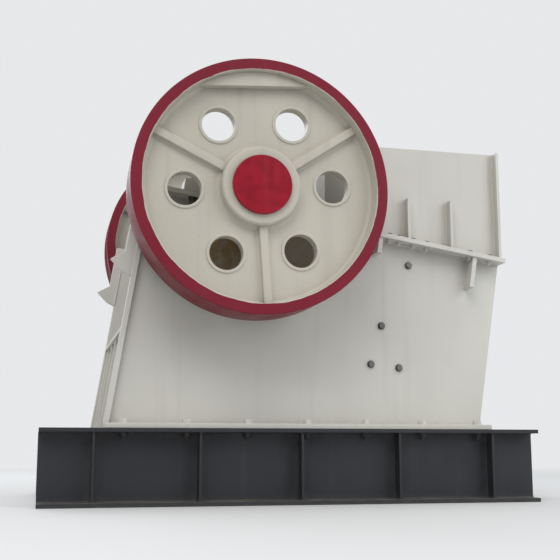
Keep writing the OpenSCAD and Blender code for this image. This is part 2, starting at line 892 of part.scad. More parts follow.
// Ring with a tapering section that is cut from the rim for a belt
module belt_groove(r) {
    floor_half = groove_floor / 2;
    mouth_half = floor_half + (groove_depth + 5) * tan(15);
    rotate([90, 0, 0]) rotate_extrude() polygon([
        [r - groove_depth, -floor_half],
        [r - groove_depth, floor_half],
        [r + 5, mouth_half],
        [r + 5, -mouth_half]
    ]);
}

// Segment plate inside the rim
module counterweight(far) {
    rim_inner = wheel_d / 2 - rim_t;
    r = rim_inner - seat_gap;
    web_front = -wheel_out + web_inset;
    color(cream) in_rotor() on_side(far) intersection() {
        bar(r, web_front - weight_t, web_front);
        block([-r, web_front - weight_t - 1, rim_inner - weight_h], [r, web_front + 1, r]);
    }
}

module hub_cap(far) {
    color(signal_red) in_rotor() on_side(far)
        bar(cap_d / 2, -wheel_out, -wheel_out + cap_t);
}

// Moving jaw: barrel, front plate, ribs and the beam with the toggle seat
module swing_jaw() {
    color(cream) in_jaw() difference() {
        union() {
            bar(barrel_d / 2, -jaw_half, jaw_half);
            along_die() block([-jaw_t - jaw_skin, -jaw_half, -swing_l], [-jaw_t, jaw_half, 10]);
            for (i = [0 : jaw_rib_count - 1])
                across(-rib_half + i * rib_step, -rib_half + i * rib_step + jaw_rib_t)
                    jaw_rib_outline();
            across(-rib_half + 2, rib_half - 2) jaw_beam_outline();
            across(-rib_half - 2, rib_half + 2) polygon([
                in_barrel(64, 20),
                die_point(-jaw_t - 8, 2),
                die_point(-jaw_t - jaw_skin + 8, -60),
                in_barrel(26, 30)
            ]);
            for (side = [-1, 1])
                translate([rod_pin[0], side * rod_y, rod_pin[1]]) {
                    bar(pin_r, -rod_pin_out, rod_pin_out);
                    for (s = [-1, 1])
                        translate([0, s * (eye_t / 2 + clear + lug_t / 2), 0]) rod_lug();
                }
        }
        bar(eccentric_d / 2 + running_gap, -jaw_half - 1, jaw_half + 1);
        translate([toggle_head[0], 0, toggle_head[1]])
            bar(toggle_end_d / 2 + orbit, -jaw_half - 1, jaw_half + 1);
    }
}

// Lug that carries a tension rod's pin, from the pin to the moving jaw's front plate
module rod_lug() {
    rotate([0, 180 - nip, 0]) {
        bar(lug_r, -lug_t / 2, lug_t / 2);
        block([jaw_skin - rod_back - 20, -lug_t / 2, -lug_r + 6], [0, lug_t / 2, lug_r - 6]);
    }
}

// Beam with the seat of the toggle plate's front end
module jaw_beam_outline() {
    polygon([
        die_point(-jaw_t - 10, beam_z + beam_half),
        die_point(-jaw_t - beam_d, beam_z + beam_half),
        toggle_head + [-15, 60],
        toggle_head + [-15, -90],
        die_point(-jaw_t - beam_d + 40, beam_z - beam_half),
        die_point(-jaw_t - 10, beam_z - beam_half - 60)
    ]);
}

module jaw_rib_outline() {
    end_z = -swing_l + jaw_rib_end;
    polygon([
        [0, 0],
        in_barrel(90, 6),
        in_barrel(44, 7),
        die_point(-jaw_t - 10, 0),
        die_point(-jaw_t - 10, end_z),
        die_point(-jaw_t - jaw_skin - 20, end_z),
        die_point(-jaw_t - beam_d, beam_z - beam_half),
        toggle_head + [-15, 60],
        in_barrel(214.5, 8)
    ]);
}

module swing_jaw_plate() {
    color(cast_steel) in_jaw() along_die() translate([-jaw_t, 0, -swing_l])
        ridged_plate(jaw_w, swing_l - clamp_h, jaw_t);
}

// Bar that holds the moving jaw plate at its top
module swing_jaw_wedge() {
    color(cast_steel) in_jaw() along_die() across(-jaw_half + 20, jaw_half - 20)
        translate([-jaw_t, -clamp_h]) clamp_outline(clamp_h + 5);
}

base_beam(false);  // base_beam_near
base_beam(true);  // base_beam_far
cross_beam(1);  // cross_beam_front
cross_beam(-1);  // cross_beam_rear
side_plate(false);  // side_plate_near
side_plate(true);  // side_plate_far
front_wall();
front_wall_ribs();
rear_wall();
bearing_housing(false);  // bearing_housing_near
bearing_housing(true);  // bearing_housing_far
bearing_cover(false);  // bearing_cover_near
bearing_cover(true);  // bearing_cover_far
fixed_jaw_plate();
fixed_jaw_wedge();
cheek_plate(false);  // cheek_plate_near
cheek_plate(true);  // cheek_plate_far
toggle_beam();
toggle_seat();
adjusting_wedges();
toggle_plate();
tension_rods();
tension_springs();
chute_side(false);  // chute_side_near
chute_side(true);  // chute_side_far
chute_back_plate();
chute_front_lip();
rear_bracket(false);  // rear_bracket_near
rear_bracket(true);  // rear_bracket_far
eccentric_shaft();
flywheel(false);  // flywheel_near
flywheel(true);  // flywheel_far
counterweight(false);  // counterweight_near
counterweight(true);  // counterweight_far
hub_cap(false);  // hub_cap_near
hub_cap(true);  // hub_cap_far
swing_jaw();
swing_jaw_plate();
swing_jaw_wedge();
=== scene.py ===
# %% [markdown]
# # A jaw crusher on its base frame
# A jaw crusher squeezes rock between a fixed plate and a moving one. The moving jaw hangs
# on an eccentric shaft with a heavy flywheel at each end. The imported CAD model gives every
# load-carrying piece its true shape and place, so this lesson dresses it: it lays paint and
# metal over the nodes, adds the bolts, weld beads and cast roundings that are too small
# for the CAD model, and lights the machine plainly.

# %% Load the frame
import json
import math

import bmesh
import bpy
from mathutils import Matrix, Vector


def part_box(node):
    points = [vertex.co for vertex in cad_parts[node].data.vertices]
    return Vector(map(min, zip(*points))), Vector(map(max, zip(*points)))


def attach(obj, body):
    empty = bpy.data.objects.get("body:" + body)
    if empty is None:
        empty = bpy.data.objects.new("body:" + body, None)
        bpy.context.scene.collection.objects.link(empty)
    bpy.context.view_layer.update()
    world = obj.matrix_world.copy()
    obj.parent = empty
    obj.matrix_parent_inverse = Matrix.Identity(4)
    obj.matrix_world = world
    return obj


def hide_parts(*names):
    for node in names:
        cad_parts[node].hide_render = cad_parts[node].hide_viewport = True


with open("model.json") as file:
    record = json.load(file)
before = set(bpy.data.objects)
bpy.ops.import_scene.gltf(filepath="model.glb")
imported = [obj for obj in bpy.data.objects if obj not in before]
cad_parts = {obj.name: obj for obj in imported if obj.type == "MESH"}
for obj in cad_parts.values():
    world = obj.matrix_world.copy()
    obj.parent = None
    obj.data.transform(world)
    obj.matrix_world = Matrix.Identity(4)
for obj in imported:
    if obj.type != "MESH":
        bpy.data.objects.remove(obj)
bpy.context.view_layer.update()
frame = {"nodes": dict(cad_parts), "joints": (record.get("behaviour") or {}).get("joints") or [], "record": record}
nodes = frame["nodes"]

# %% [markdown]
# ## Places to work from
# The machine has three frames of its own. The body leans towards the feed end, the rotor
# is turned a few degrees so that its counterweights stand nearly upright, and the moving
# jaw leans with the body but hangs from the eccentric. A matrix for each lets a bolt or a
# weld be placed by the sizes that a drawing of that part would give.

# %% Frames of the body, the rotor and the moving jaw
LEAN = math.radians(9)
WHEEL_TURN = math.radians(4)
joint_place = {joint["name"]: Vector(joint["pos_m"]) for joint in frame["joints"]}
shaft = joint_place["shaft_spin"]
body_frame = Matrix.Translation(shaft) @ Matrix.Rotation(LEAN, 4, "Y")
rotor_frame = Matrix.Translation(shaft) @ Matrix.Rotation(-WHEEL_TURN, 4, "Y")
jaw_frame = Matrix.Translation(joint_place["jaw_on_eccentric"]) @ Matrix.Rotation(LEAN, 4, "Y")
level_frame = Matrix.Translation(shaft)
print("shaft centre", [round(v, 3) for v in shaft])

# %% Sizes read from the nodes
wheel_low, wheel_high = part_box("flywheel_near")
wheel_r = (wheel_high.z - wheel_low.z) / 2
wheel_out = -wheel_low.y
wheel_in = -wheel_high.y
side_out = -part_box("rear_bracket_near")[0].y
side_in = -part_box("rear_bracket_near")[1].y
beam_low, beam_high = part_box("base_beam_near")
base_h = beam_high.z
print("flywheel radius", round(wheel_r, 4), "outer face at", round(wheel_out, 4))

# %% [markdown]
# ## Floor and lamps
# A pale floor and wide area lamps give the plain look of a studio. The floor fades out
# with distance, so no horizon shows. Daylight falls on this machine from above, so the
# world is bright overhead and dim below, which keeps undersides dark. Where the camera
# sees it, it is one pale grey; the Light Path node tells the two apart. Glossy rays see
# the pale one too.

# %% A pale floor
FLOOR_R = 40.0
FLOOR_DROP = 0.001
FADE_START = 4.0
FADE_END = 13.0


def floor_material():
    material = bpy.data.materials.new("floor_paint")
    material.use_nodes = True
    tree = material.node_tree
    shader = tree.nodes["Principled BSDF"]
    shader.inputs["Roughness"].default_value = 0.85
    grain = tree.nodes.new("ShaderNodeTexNoise")
    grain.inputs["Scale"].default_value = 1.5
    tone = tree.nodes.new("ShaderNodeValToRGB")
    tone.color_ramp.elements[0].color = (0.60, 0.60, 0.60, 1)
    tone.color_ramp.elements[1].color = (0.66, 0.66, 0.65, 1)
    tree.links.new(grain.outputs["Fac"], tone.inputs["Fac"])
    tree.links.new(tone.outputs["Color"], shader.inputs["Base Color"])
    place = tree.nodes.new("ShaderNodeTexCoord")
    away = tree.nodes.new("ShaderNodeVectorMath")
    away.operation = "LENGTH"
    tree.links.new(place.outputs["Object"], away.inputs[0])
    fade = tree.nodes.new("ShaderNodeMapRange")
    fade.interpolation_type = "SMOOTHERSTEP"
    fade.inputs["From Min"].default_value = FADE_START
    fade.inputs["From Max"].default_value = FADE_END
    tree.links.new(away.outputs["Value"], fade.inputs["Value"])
    clear = tree.nodes.new("ShaderNodeBsdfTransparent")
    both = tree.nodes.new("ShaderNodeMixShader")
    tree.links.new(fade.outputs["Result"], both.inputs["Fac"])
    tree.links.new(shader.outputs["BSDF"], both.inputs[1])
    tree.links.new(clear.outputs["BSDF"], both.inputs[2])
    tree.links.new(both.outputs["Shader"], tree.nodes["Material Output"].inputs["Surface"])
    return material


floor_mesh = bpy.data.meshes.new("floor")
floor_bm = bmesh.new()
bmesh.ops.create_circle(floor_bm, cap_ends=True, segments=96, radius=FLOOR_R)
floor_bm.to_mesh(floor_mesh)
floor_bm.free()
floor = bpy.data.objects.new("floor", floor_mesh)
floor.location.z = -FLOOR_DROP
bpy.context.collection.objects.link(floor)
floor_mesh.materials.append(floor_material())
print("floor of radius", FLOOR_R)

# %% World light
LIGHT_BELOW = 0.26
LIGHT_OVERHEAD = 0.98
DAYLIGHT = (0.93, 0.96, 1.0, 1)
PALE_GREY = (0.80, 0.81, 0.82, 1)
world = bpy.data.worlds.new("studio")
bpy.context.scene.world = world
world.use_nodes = True
sky = world.node_tree
sky.nodes.clear()
sky_out = sky.nodes.new("ShaderNodeOutputWorld")
soft_sky = sky.nodes.new("ShaderNodeBackground")
soft_sky.inputs["Color"].default_value = DAYLIGHT
direction = sky.nodes.new("ShaderNodeTexCoord")
parts = sky.nodes.new("ShaderNodeSeparateXYZ")
sky.links.new(direction.outputs["Generated"], parts.inputs["Vector"])
rise = sky.nodes.new("ShaderNodeMapRange")
rise.interpolation_type = "SMOOTHSTEP"
rise.inputs["From Min"].default_value = -0.25
rise.inputs["From Max"].default_value = 0.85
rise.inputs["To Min"].default_value = LIGHT_BELOW
rise.inputs["To Max"].default_value = LIGHT_OVERHEAD
sky.links.new(parts.outputs["Z"], rise.inputs["Value"])
sky.links.new(rise.outputs["Result"], soft_sky.inputs["Strength"])
seen_sky = sky.nodes.new("ShaderNodeBackground")
seen_sky.inputs["Color"].default_value = PALE_GREY
seen_sky.inputs["Strength"].default_value = 1.0
ray = sky.nodes.new("ShaderNodeLightPath")
seen = sky.nodes.new("ShaderNodeMath")
seen.operation = "MAXIMUM"
sky.links.new(ray.outputs["Is Camera Ray"], seen.inputs[0])
sky.links.new(ray.outputs["Is Glossy Ray"], seen.inputs[1])
choice = sky.nodes.new("ShaderNodeMixShader")
sky.links.new(seen.outputs["Value"], choice.inputs["Fac"])
sky.links.new(soft_sky.outputs["Background"], choice.inputs[1])
sky.links.new(seen_sky.outputs["Background"], choice.inputs[2])
sky.links.new(choice.outputs["Shader"], sky_out.inputs["Surface"])
print("world strength", LIGHT_BELOW, "below and", LIGHT_OVERHEAD, "overhead")


# %% Area lamps
def area_lamp(name, place, size, watts, tint):
    lamp = bpy.data.lights.new(name, "AREA")
    lamp.shape = "SQUARE"
    lamp.size = size
    lamp.energy = watts
    lamp.color = tint
    holder = bpy.data.objects.new(name, lamp)
    holder.location = place
    holder.rotation_euler = (LAMP_AIM - holder.location).to_track_quat("-Z", "Y").to_euler()
    bpy.context.collection.objects.link(holder)
    print(name, size, "m wide with", watts, "W")


LAMP_AIM = Vector((0, 0, 1.2))
WARM = (1.0, 0.97, 0.92)
COOL = (0.93, 0.96, 1.0)
area_lamp("key_lamp", (-4.0, -9.5, 12.0), 8.0, 840, WARM)
area_lamp("fill_lamp", (7.0, -7.0, 4.5), 6.0, 260, COOL)
area_lamp("back_lamp", (-3.0, 7.5, 6.5), 5.0, 260, COOL)

# %% [markdown]
# ## Camera
# The camera stands where the photographer stood: low, a little above the floor of the base
# frame, about six metres from the near flywheel and behind its centre. It is aimed at the
# machine, with a lens that just takes it in, so no lens shift is needed.

# %% The photographer's place
CAMERA_BEHIND_SHAFT = 1.258
CAMERA_FROM_WHEEL = 5.63
CAMERA_BELOW_SHAFT = 1.56
VIEW_RIGHT = math.radians(13.6)
VIEW_UP = math.radians(9.6)
FIELD = math.radians(31.5)
camera_place = Vector((
    shaft.x - CAMERA_BEHIND_SHAFT,
    -wheel_out - CAMERA_FROM_WHEEL,
    shaft.z - CAMERA_BELOW_SHAFT,
))
view_line = Vector((
    math.sin(VIEW_RIGHT) * math.cos(VIEW_UP),
    math.cos(VIEW_RIGHT) * math.cos(VIEW_UP),
    math.sin(VIEW_UP),
))
lens = bpy.data.cameras.new("camera")
lens.sensor_width = 36
lens.lens = lens.sensor_width / 2 / math.tan(FIELD / 2)
lens.clip_end = 200
camera = bpy.data.objects.new("camera", lens)
camera.location = camera_place
camera.rotation_euler = view_line.to_track_quat("-Z", "Y").to_euler()
bpy.context.collection.objects.link(camera)
bpy.context.scene.camera = camera
bpy.context.scene.view_settings.view_transform = "Standard"
print("camera at", [round(v, 2) for v in camera_place], "lens", round(lens.lens, 1))

# %% [markdown]
# ## Paint and metal
# Every finish is a small node tree. The same few steps come back in each: take the object's
# own coordinates, stretch them, read a noise, and turn the noise into a colour, a roughness
# or a bump. A short function for each step keeps the recipes readable. feed() takes either
# a fixed value or another node's output, so a recipe can give any step a number at first
# and a pattern later.


# %% Steps that every finish uses
def new_finish(name):
    material = bpy.data.materials.new(name)
    material.use_nodes = True
    tree = material.node_tree
    tree.nodes.clear()
    out = tree.nodes.new("ShaderNodeOutputMaterial")
    shader = tree.nodes.new("ShaderNodeBsdfPrincipled")
    tree.links.new(shader.outputs["BSDF"], out.inputs["Surface"])
    return material, tree, shader


def feed(tree, socket, value):
    if hasattr(value, "is_output"):
        tree.links.new(value, socket)
    else:
        socket.default_value = value


def stretched(tree, stretch):
    coordinates = tree.nodes.new("ShaderNodeTexCoord")
    mapping = tree.nodes.new("ShaderNodeMapping")
    mapping.inputs["Scale"].default_value = stretch
    tree.links.new(coordinates.outputs["Object"], mapping.inputs["Vector"])
    return mapping.outputs["Vector"]


def noise(tree, scale, detail, stretch=(1, 1, 1)):
    node = tree.nodes.new("ShaderNodeTexNoise")
    tree.links.new(stretched(tree, stretch), node.inputs["Vector"])
    node.inputs["Scale"].default_value = scale
    node.inputs["Detail"].default_value = detail
    return node.outputs["Fac"]


def sums(tree, operation, first, second):
    node = tree.nodes.new("ShaderNodeMath")
    node.operation = operation
    feed(tree, node.inputs[0], first)
    feed(tree, node.inputs[1], second)
    return node.outputs["Value"]


def spread(tree, value, low, high, to_low=0.0, to_high=1.0):
    node = tree.nodes.new("ShaderNodeMapRange")
    node.interpolation_type = "SMOOTHSTEP"
    feed(tree, node.inputs["Value"], value)
    node.inputs["From Min"].default_value = low
    node.inputs["From Max"].default_value = high
    node.inputs["To Min"].default_value = to_low
    node.inputs["To Max"].default_value = to_high
    return node.outputs["Result"]


def layered(tree, share, under, over):
    node = tree.nodes.new("ShaderNodeMix")
    node.data_type = "RGBA"
    feed(tree, node.inputs[0], share)
    feed(tree, node.inputs[6], under)
    feed(tree, node.inputs[7], over)
    return node.outputs[2]


def axes(tree, kind):
    coordinates = tree.nodes.new("ShaderNodeTexCoord")
    split = tree.nodes.new("ShaderNodeSeparateXYZ")
    tree.links.new(coordinates.outputs[kind], split.inputs["Vector"])
    return split.outputs


def from_shaft(tree):
    place = axes(tree, "Object")
    ahead = sums(tree, "SUBTRACT", place["X"], shaft.x)
    above = sums(tree, "SUBTRACT", place["Z"], shaft.z)
    squares = sums(tree, "ADD", sums(tree, "MULTIPLY", ahead, ahead),
        sums(tree, "MULTIPLY", above, above))
    return ahead, place["Y"], above, sums(tree, "SQRT", squares, 0.0)


def corners(tree, reach):
    node = tree.nodes.new("ShaderNodeAmbientOcclusion")
    node.samples = 6
    node.inputs["Distance"].default_value = reach
    return node.outputs["AO"]


def bumped(tree, shader, height, distance):
    node = tree.nodes.new("ShaderNodeBump")
    node.inputs["Distance"].default_value = distance
    tree.links.new(height, node.inputs["Height"])
    tree.links.new(node.outputs["Normal"], shader.inputs["Normal"])


print("ready: new_finish, feed, stretched, noise, sums, spread, layered, axes, corners, bumped")

# %% [markdown]
# ### Machine enamel
# The body is rolled plate under a satin enamel, sprayed on in the workshop. It isn't one
# flat colour: large patches vary a little, rain and handling leave faint upright streaks,
# and dust lies on what faces up. Corners get painted shade, read from an occlusion node.
# Steps of mixing, one over the other, give that, and a fine noise as bump gives the sprayed
# surface its orange peel. Behind the flywheels, below their top flange, the side plates are
# browned and darkened, more towards the rear than towards the feed end: a grease stain from
# the bearings and painted shade of the pocket behind each wheel.

# %% Enamel recipe
DUST = (0.42, 0.385, 0.32, 1)
# The next colour is the grime of the rain streaks and also the painted shade in corners.
GRIME_AND_SHADE = (0.20, 0.18, 0.15, 1)
# The next colour is a grease stain and also the painted shade behind the flywheels.
GREASE_AND_SHADE = (0.330, 0.200, 0.065, 1)
GREASE_SHADE_REACH = 0.62
GREASE_SHADE_FADE = 0.16
SATIN = (0.36, 0.52)


def darker(colour, share):
    return (colour[0] * share, colour[1] * share, colour[2] * share, 1)


def enamel_colour(tree, colour, dust=0.45, grime=0.5, streaks=0.10, mottle=0.0):
    patches = spread(tree, noise(tree, 1.3, 4.0), 0.35, 0.68)
    coat = layered(tree, patches, darker(colour, 0.94), darker(colour, 1.03))
    if mottle > 0:
        blotches = spread(tree, noise(tree, 15.0, 4.0), 0.35, 0.65, 0.0, mottle)
        coat = layered(tree, blotches, coat, darker(colour, 0.5))
    rain = spread(tree, noise(tree, 1.0, 5.0, (13, 13, 0.7)), 0.52, 0.74, 0.0, streaks)
    coat = layered(tree, rain, coat, GRIME_AND_SHADE)
    specks = spread(tree, noise(tree, 140.0, 2.0), 0.66, 0.72, 0.0, 0.35)
    coat = layered(tree, specks, coat, darker(colour, 0.72))
    lying = spread(tree, axes(tree, "Normal")["Z"], 0.45, 0.95, 0.0, dust)
    lying = sums(tree, "MULTIPLY", lying, spread(tree, noise(tree, 9.0, 5.0), 0.3, 0.7, 0.45, 1.0))
    coat = layered(tree, lying, coat, DUST)
    # Painted shade: corners found by the occlusion node are darkened towards the grime colour.
    painted_corner_shade = spread(tree, corners(tree, 0.07), 0.25, 0.8, grime, 0.0)
    painted_corner_shade = sums(tree, "MULTIPLY", painted_corner_shade, spread(tree, noise(tree, 22.0, 4.0), 0.3, 0.7, 0.4, 1.0))
    return layered(tree, painted_corner_shade, coat, GRIME_AND_SHADE)


def orange_peel(tree, shader):
    peel = sums(tree, "ADD", noise(tree, 5.0, 2.0), noise(tree, 260.0, 2.0))
    bumped(tree, shader, peel, 0.0004)


def enamel(name, colour, rough=SATIN, sheen=0.5, **extra):
    material, tree, shader = new_finish(name)
    shader.inputs["Specular IOR Level"].default_value = sheen
    feed(tree, shader.inputs["Base Color"], enamel_colour(tree, colour, **extra))
    feed(tree, shader.inputs["Roughness"], spread(tree, noise(tree, 4.0, 5.0), 0.3, 0.7, *rough))
    orange_peel(tree, shader)
    return material


def grease_and_shade_enamel(name, colour):
    material, tree, shader = new_finish(name)
    ahead, sideways, above, reach = from_shaft(tree)
    reach = sums(tree, "ADD", reach, spread(tree, noise(tree, 3.5, 5.0), 0.2, 0.8, -0.12, 0.12))
    # Grease stain and painted shade: this share browns and darkens the side plate near the shaft, under the
    # flange, behind each flywheel.
    share = spread(tree, reach, GREASE_SHADE_REACH - GREASE_SHADE_FADE, GREASE_SHADE_REACH, 0.85, 0.0)
    outer_face = sums(tree, "GREATER_THAN", sums(tree, "ABSOLUTE", sideways, 0.0), side_out - 0.01)
    for limit in (
        spread(tree, above, -0.16, -0.06, 1.0, 0.0),
        spread(tree, ahead, -0.1, 0.2, 1.0, 0.5),
        outer_face,
        spread(tree, noise(tree, 16.0, 5.0), 0.25, 0.6, 0.55, 1.0),
    ):
        share = sums(tree, "MULTIPLY", share, limit)
    paint = enamel_colour(tree, colour)
    feed(tree, shader.inputs["Base Color"], layered(tree, share, paint, GREASE_AND_SHADE))
    rough = spread(tree, noise(tree, 4.0, 5.0), 0.3, 0.7, *SATIN)
    feed(tree, shader.inputs["Roughness"], sums(tree, "SUBTRACT", rough,
        sums(tree, "MULTIPLY", share, 0.12)))
    orange_peel(tree, shader)
    return material


CREAM = (0.560, 0.548, 0.500, 1)
SLATE = (0.020, 0.0215, 0.026, 1)
# Each enamel's corner setting is how much painted shade its corners get.
cream_enamel = enamel("cream_enamel", CREAM)
side_grease_shade_enamel = grease_and_shade_enamel("side_grease_shade_enamel", CREAM)
slate_enamel = enamel("slate_enamel", SLATE, rough=(0.42, 0.62), sheen=0.35, dust=0.3, grime=0.3,
    streaks=0.03)
print("enamels", cream_enamel.name, side_grease_shade_enamel.name, slate_enamel.name)

# %% [markdown]
# ### Flywheel paint
# A flywheel is a casting in the same cream, but its rim is painted crimson. The two colours
# meet at a line that a brush followed by hand. The distance from the shaft decides the
# colour, and a weak noise lets the line waver. In the belt grooves of the far wheel the
# belts keep the steel bare. The hub's cap is a brighter red, a little blotched.

# %% Two-colour paint by distance from the shaft
CRIMSON = (0.175, 0.007, 0.020, 1)
SIGNAL_RED = (0.30, 0.0045, 0.018, 1)
RIM_T = 0.070
BELT_HALF = 0.118
BELT_STEEL = (0.22, 0.21, 0.20, 1)
CAST_CREAM = (0.500, 0.470, 0.402, 1)


def wheel_paint(name):
    material, tree, shader = new_finish(name)
    _, sideways, _, reach = from_shaft(tree)
    waver = spread(tree, noise(tree, 9.0, 4.0), 0.2, 0.8, -0.003, 0.003)
    on_rim = sums(tree, "GREATER_THAN", sums(tree, "ADD", reach, waver), wheel_r - RIM_T + 0.005)
    from_middle = sums(tree, "ABSOLUTE", sums(tree, "SUBTRACT", sideways,
        (wheel_out + wheel_in) / 2), 0.0)
    under_belt = sums(tree, "LESS_THAN", from_middle, BELT_HALF)
    below_top = sums(tree, "LESS_THAN", reach, wheel_r - 0.002)
    above_floor = sums(tree, "GREATER_THAN", reach, wheel_r - 0.026)
    in_groove = sums(tree, "MULTIPLY", under_belt, sums(tree, "MULTIPLY", below_top, above_floor))
    # The casting's corners get strong painted shade from the enamel's occlusion step.
    cream = enamel_colour(tree, CAST_CREAM, dust=0.3, grime=0.7)
    crimson = enamel_colour(tree, CRIMSON, dust=0.2, grime=0.3, streaks=0.04)
    paint = layered(tree, on_rim, cream, crimson)
    feed(tree, shader.inputs["Base Color"], layered(tree, in_groove, paint, BELT_STEEL))
    feed(tree, shader.inputs["Metallic"], sums(tree, "MULTIPLY", in_groove, 0.85))
    shader.inputs["Specular IOR Level"].default_value = 0.25
    feed(tree, shader.inputs["Roughness"], spread(tree, noise(tree, 5.0, 5.0), 0.3, 0.7, 0.34, 0.5))
    skin = sums(tree, "ADD", noise(tree, 42.0, 6.0), noise(tree, 7.0, 2.0))
    bumped(tree, shader, skin, 0.0012)
    return material


flywheel_paint = wheel_paint("flywheel_paint")
cap_enamel = enamel("cap_enamel", SIGNAL_RED, rough=(0.30, 0.44), sheen=0.2, dust=0.1, grime=0.4,
    streaks=0.05, mottle=0.45)
spring_enamel = enamel("spring_enamel", CRIMSON, rough=(0.34, 0.5), sheen=0.3, dust=0.3, grime=0.5)
print("paints", flywheel_paint.name, cap_enamel.name)

# %% [markdown]
# ### Bare metal
# Jaw plates are cast in manganese steel with a rough, brown-grey skin that rock rubs bright
# on the ridges. Shafts and rods are turned and oiled, so they are smooth along the cut
# and a thin tooling line runs round them.


# %% Cast and turned steel
def cast_steel(name):
    material, tree, shader = new_finish(name)
    tone = spread(tree, noise(tree, 3.0, 6.0), 0.3, 0.7)
    skin = layered(tree, tone, (0.125, 0.116, 0.104, 1), (0.215, 0.198, 0.176, 1))
    rust = spread(tree, noise(tree, 14.0, 6.0), 0.55, 0.72, 0.0, 0.45)
    skin = layered(tree, rust, skin, (0.18, 0.090, 0.044, 1))
    rubbed = spread(tree, corners(tree, 0.05), 0.75, 1.0, 0.0, 0.55)
    rubbed = sums(tree, "MULTIPLY", rubbed, spread(tree, noise(tree, 30.0, 4.0), 0.45, 0.62))
    feed(tree, shader.inputs["Base Color"], layered(tree, rubbed, skin, (0.33, 0.32, 0.30, 1)))
    shader.inputs["Metallic"].default_value = 0.55
    feed(tree, shader.inputs["Roughness"], spread(tree, rubbed, 0.0, 0.5, 0.72, 0.38))
    bumped(tree, shader, noise(tree, 75.0, 8.0), 0.0022)
    return material


def turned_steel(name, colour=(0.36, 0.355, 0.34, 1), stretch=(6, 90, 6)):
    material, tree, shader = new_finish(name)
    film = spread(tree, noise(tree, 4.0, 5.0), 0.35, 0.7)
    feed(tree, shader.inputs["Base Color"], layered(tree, film, colour, darker(colour, 0.72)))
    shader.inputs["Metallic"].default_value = 0.9
    lines = noise(tree, 8.0, 3.0, stretch)
    feed(tree, shader.inputs["Roughness"], spread(tree, lines, 0.3, 0.7, 0.26, 0.42))
    bumped(tree, shader, lines, 0.0003)
    return material


manganese_steel = cast_steel("manganese_steel")
shaft_steel = turned_steel("shaft_steel")
rod_steel = turned_steel("rod_steel", stretch=(90, 6, 6))
bolt_steel = turned_steel("bolt_steel", (0.15, 0.148, 0.142, 1), (40, 40, 40))
print("metals", manganese_steel.name, shaft_steel.name, bolt_steel.name)

# %% [markdown]
# ## Dressing the CAD nodes
# The nodes keep their shape, so they only get a finish. Flame-cut plate and castings never
# have knife edges, though. A Weld modifier joins the loose triangles, Decimate takes out
# the lines across flat faces, and Bevel rounds what is left by a few millimetres. As
# modifiers they leave the mesh itself alone. The two adjusting wedges lie closer together
# than Weld's distance, so they stay as they are.

# %% Finish of each node
finishes = {
    "cream_paint": cream_enamel,
    "crimson_paint": spring_enamel,
    "red_paint": cap_enamel,
    "slate_paint": slate_enamel,
    "bare_steel": rod_steel,
    "cast_steel": manganese_steel,
}
slot_of = {row["node"]: row["material_slot"] for row in frame["record"]["subparts"]}
for name, node in nodes.items():
    node.data.materials.clear()
    node.data.materials.append(finishes[slot_of[name]])
for name in ("flywheel_near", "flywheel_far", "counterweight_near", "counterweight_far"):
    nodes[name].data.materials[0] = flywheel_paint
nodes["eccentric_shaft"].data.materials[0] = shaft_steel
for name in ("side_plate_near", "side_plate_far"):
    nodes[name].data.materials[0] = side_grease_shade_enamel
print(len(nodes), "nodes have a finish")


# %% Rounded edges on the plate work
def soften(node, width):
    join = node.modifiers.new("join", "WELD")
    join.merge_threshold = 0.0015
    flatten = node.modifiers.new("flatten", "DECIMATE")
    flatten.decimate_type = "DISSOLVE"
    flatten.angle_limit = math.radians(0.5)
    edge = node.modifiers.new("edge", "BEVEL")
    edge.width = width
    edge.segments = 2
    edge.limit_method = "ANGLE"
    edge.angle_limit = math.radians(32)
    edge.use_clamp_overlap = False
    edge.harden_normals = True


EDGE_PLATE = 0.0025
EDGE_CAST = 0.005
cast_nodes = ("swing_jaw", "bearing_housing_near", "bearing_housing_far", "toggle_seat",
    "toggle_plate", "fixed_jaw_plate", "swing_jaw_plate")
left_sharp = ("flywheel_near", "flywheel_far", "tension_springs", "adjusting_wedges")
for name, node in nodes.items():
    if name not in left_sharp:
        soften(node, EDGE_CAST if name in cast_nodes else EDGE_PLATE)
print("edges rounded by", EDGE_PLATE, "and on castings by", EDGE_CAST)

# %% [markdown]
# ## Castings and forgings with rounded corners
# The flywheel is one iron casting. Its section is drawn once as a flat outline and spun
# about the shaft, which is how a turned part is best made: every corner of the outline gets
# its own radius first, because a casting has fillets where walls meet and small breaks on
# its edges. Rounding a flat outline by its corners is far safer than rounding the solid.


# %% Outlines with a radius at each corner
def rounded_outline(points):
    bm = bmesh.new()
    corners_by_radius = {}
    for a, b, radius in points:
        corner = bm.verts.new((a, b, 0))
        corners_by_radius.setdefault(radius, []).append(corner)
    bm.faces.new(bm.verts)
    for radius, corner_group in corners_by_radius.items():
        if radius > 0:
            bmesh.ops.bevel(bm, geom=corner_group, offset=radius, offset_type="OFFSET",
                segments=4 if radius > 0.002 else 1, profile=0.5, affect="VERTICES",
                material=-1)
    return bm


def spun(points, steps):
    bm = rounded_outline(points)
    bmesh.ops.delete(bm, geom=bm.faces[:], context="FACES_ONLY")
    bmesh.ops.spin(bm, geom=bm.verts[:] + bm.edges[:], cent=(0, 0, 0), axis=(0, 1, 0),
        dvec=(0, 0, 0), angle=2 * math.pi, steps=steps, use_merge=True)
    bmesh.ops.remove_doubles(bm, verts=bm.verts[:], dist=0.00001)
    on_axis = [edge for edge in bm.edges if not edge.link_faces]
    bmesh.ops.delete(bm, geom=on_axis, context="EDGES")
    bmesh.ops.recalc_face_normals(bm, faces=bm.faces[:])
    return bm


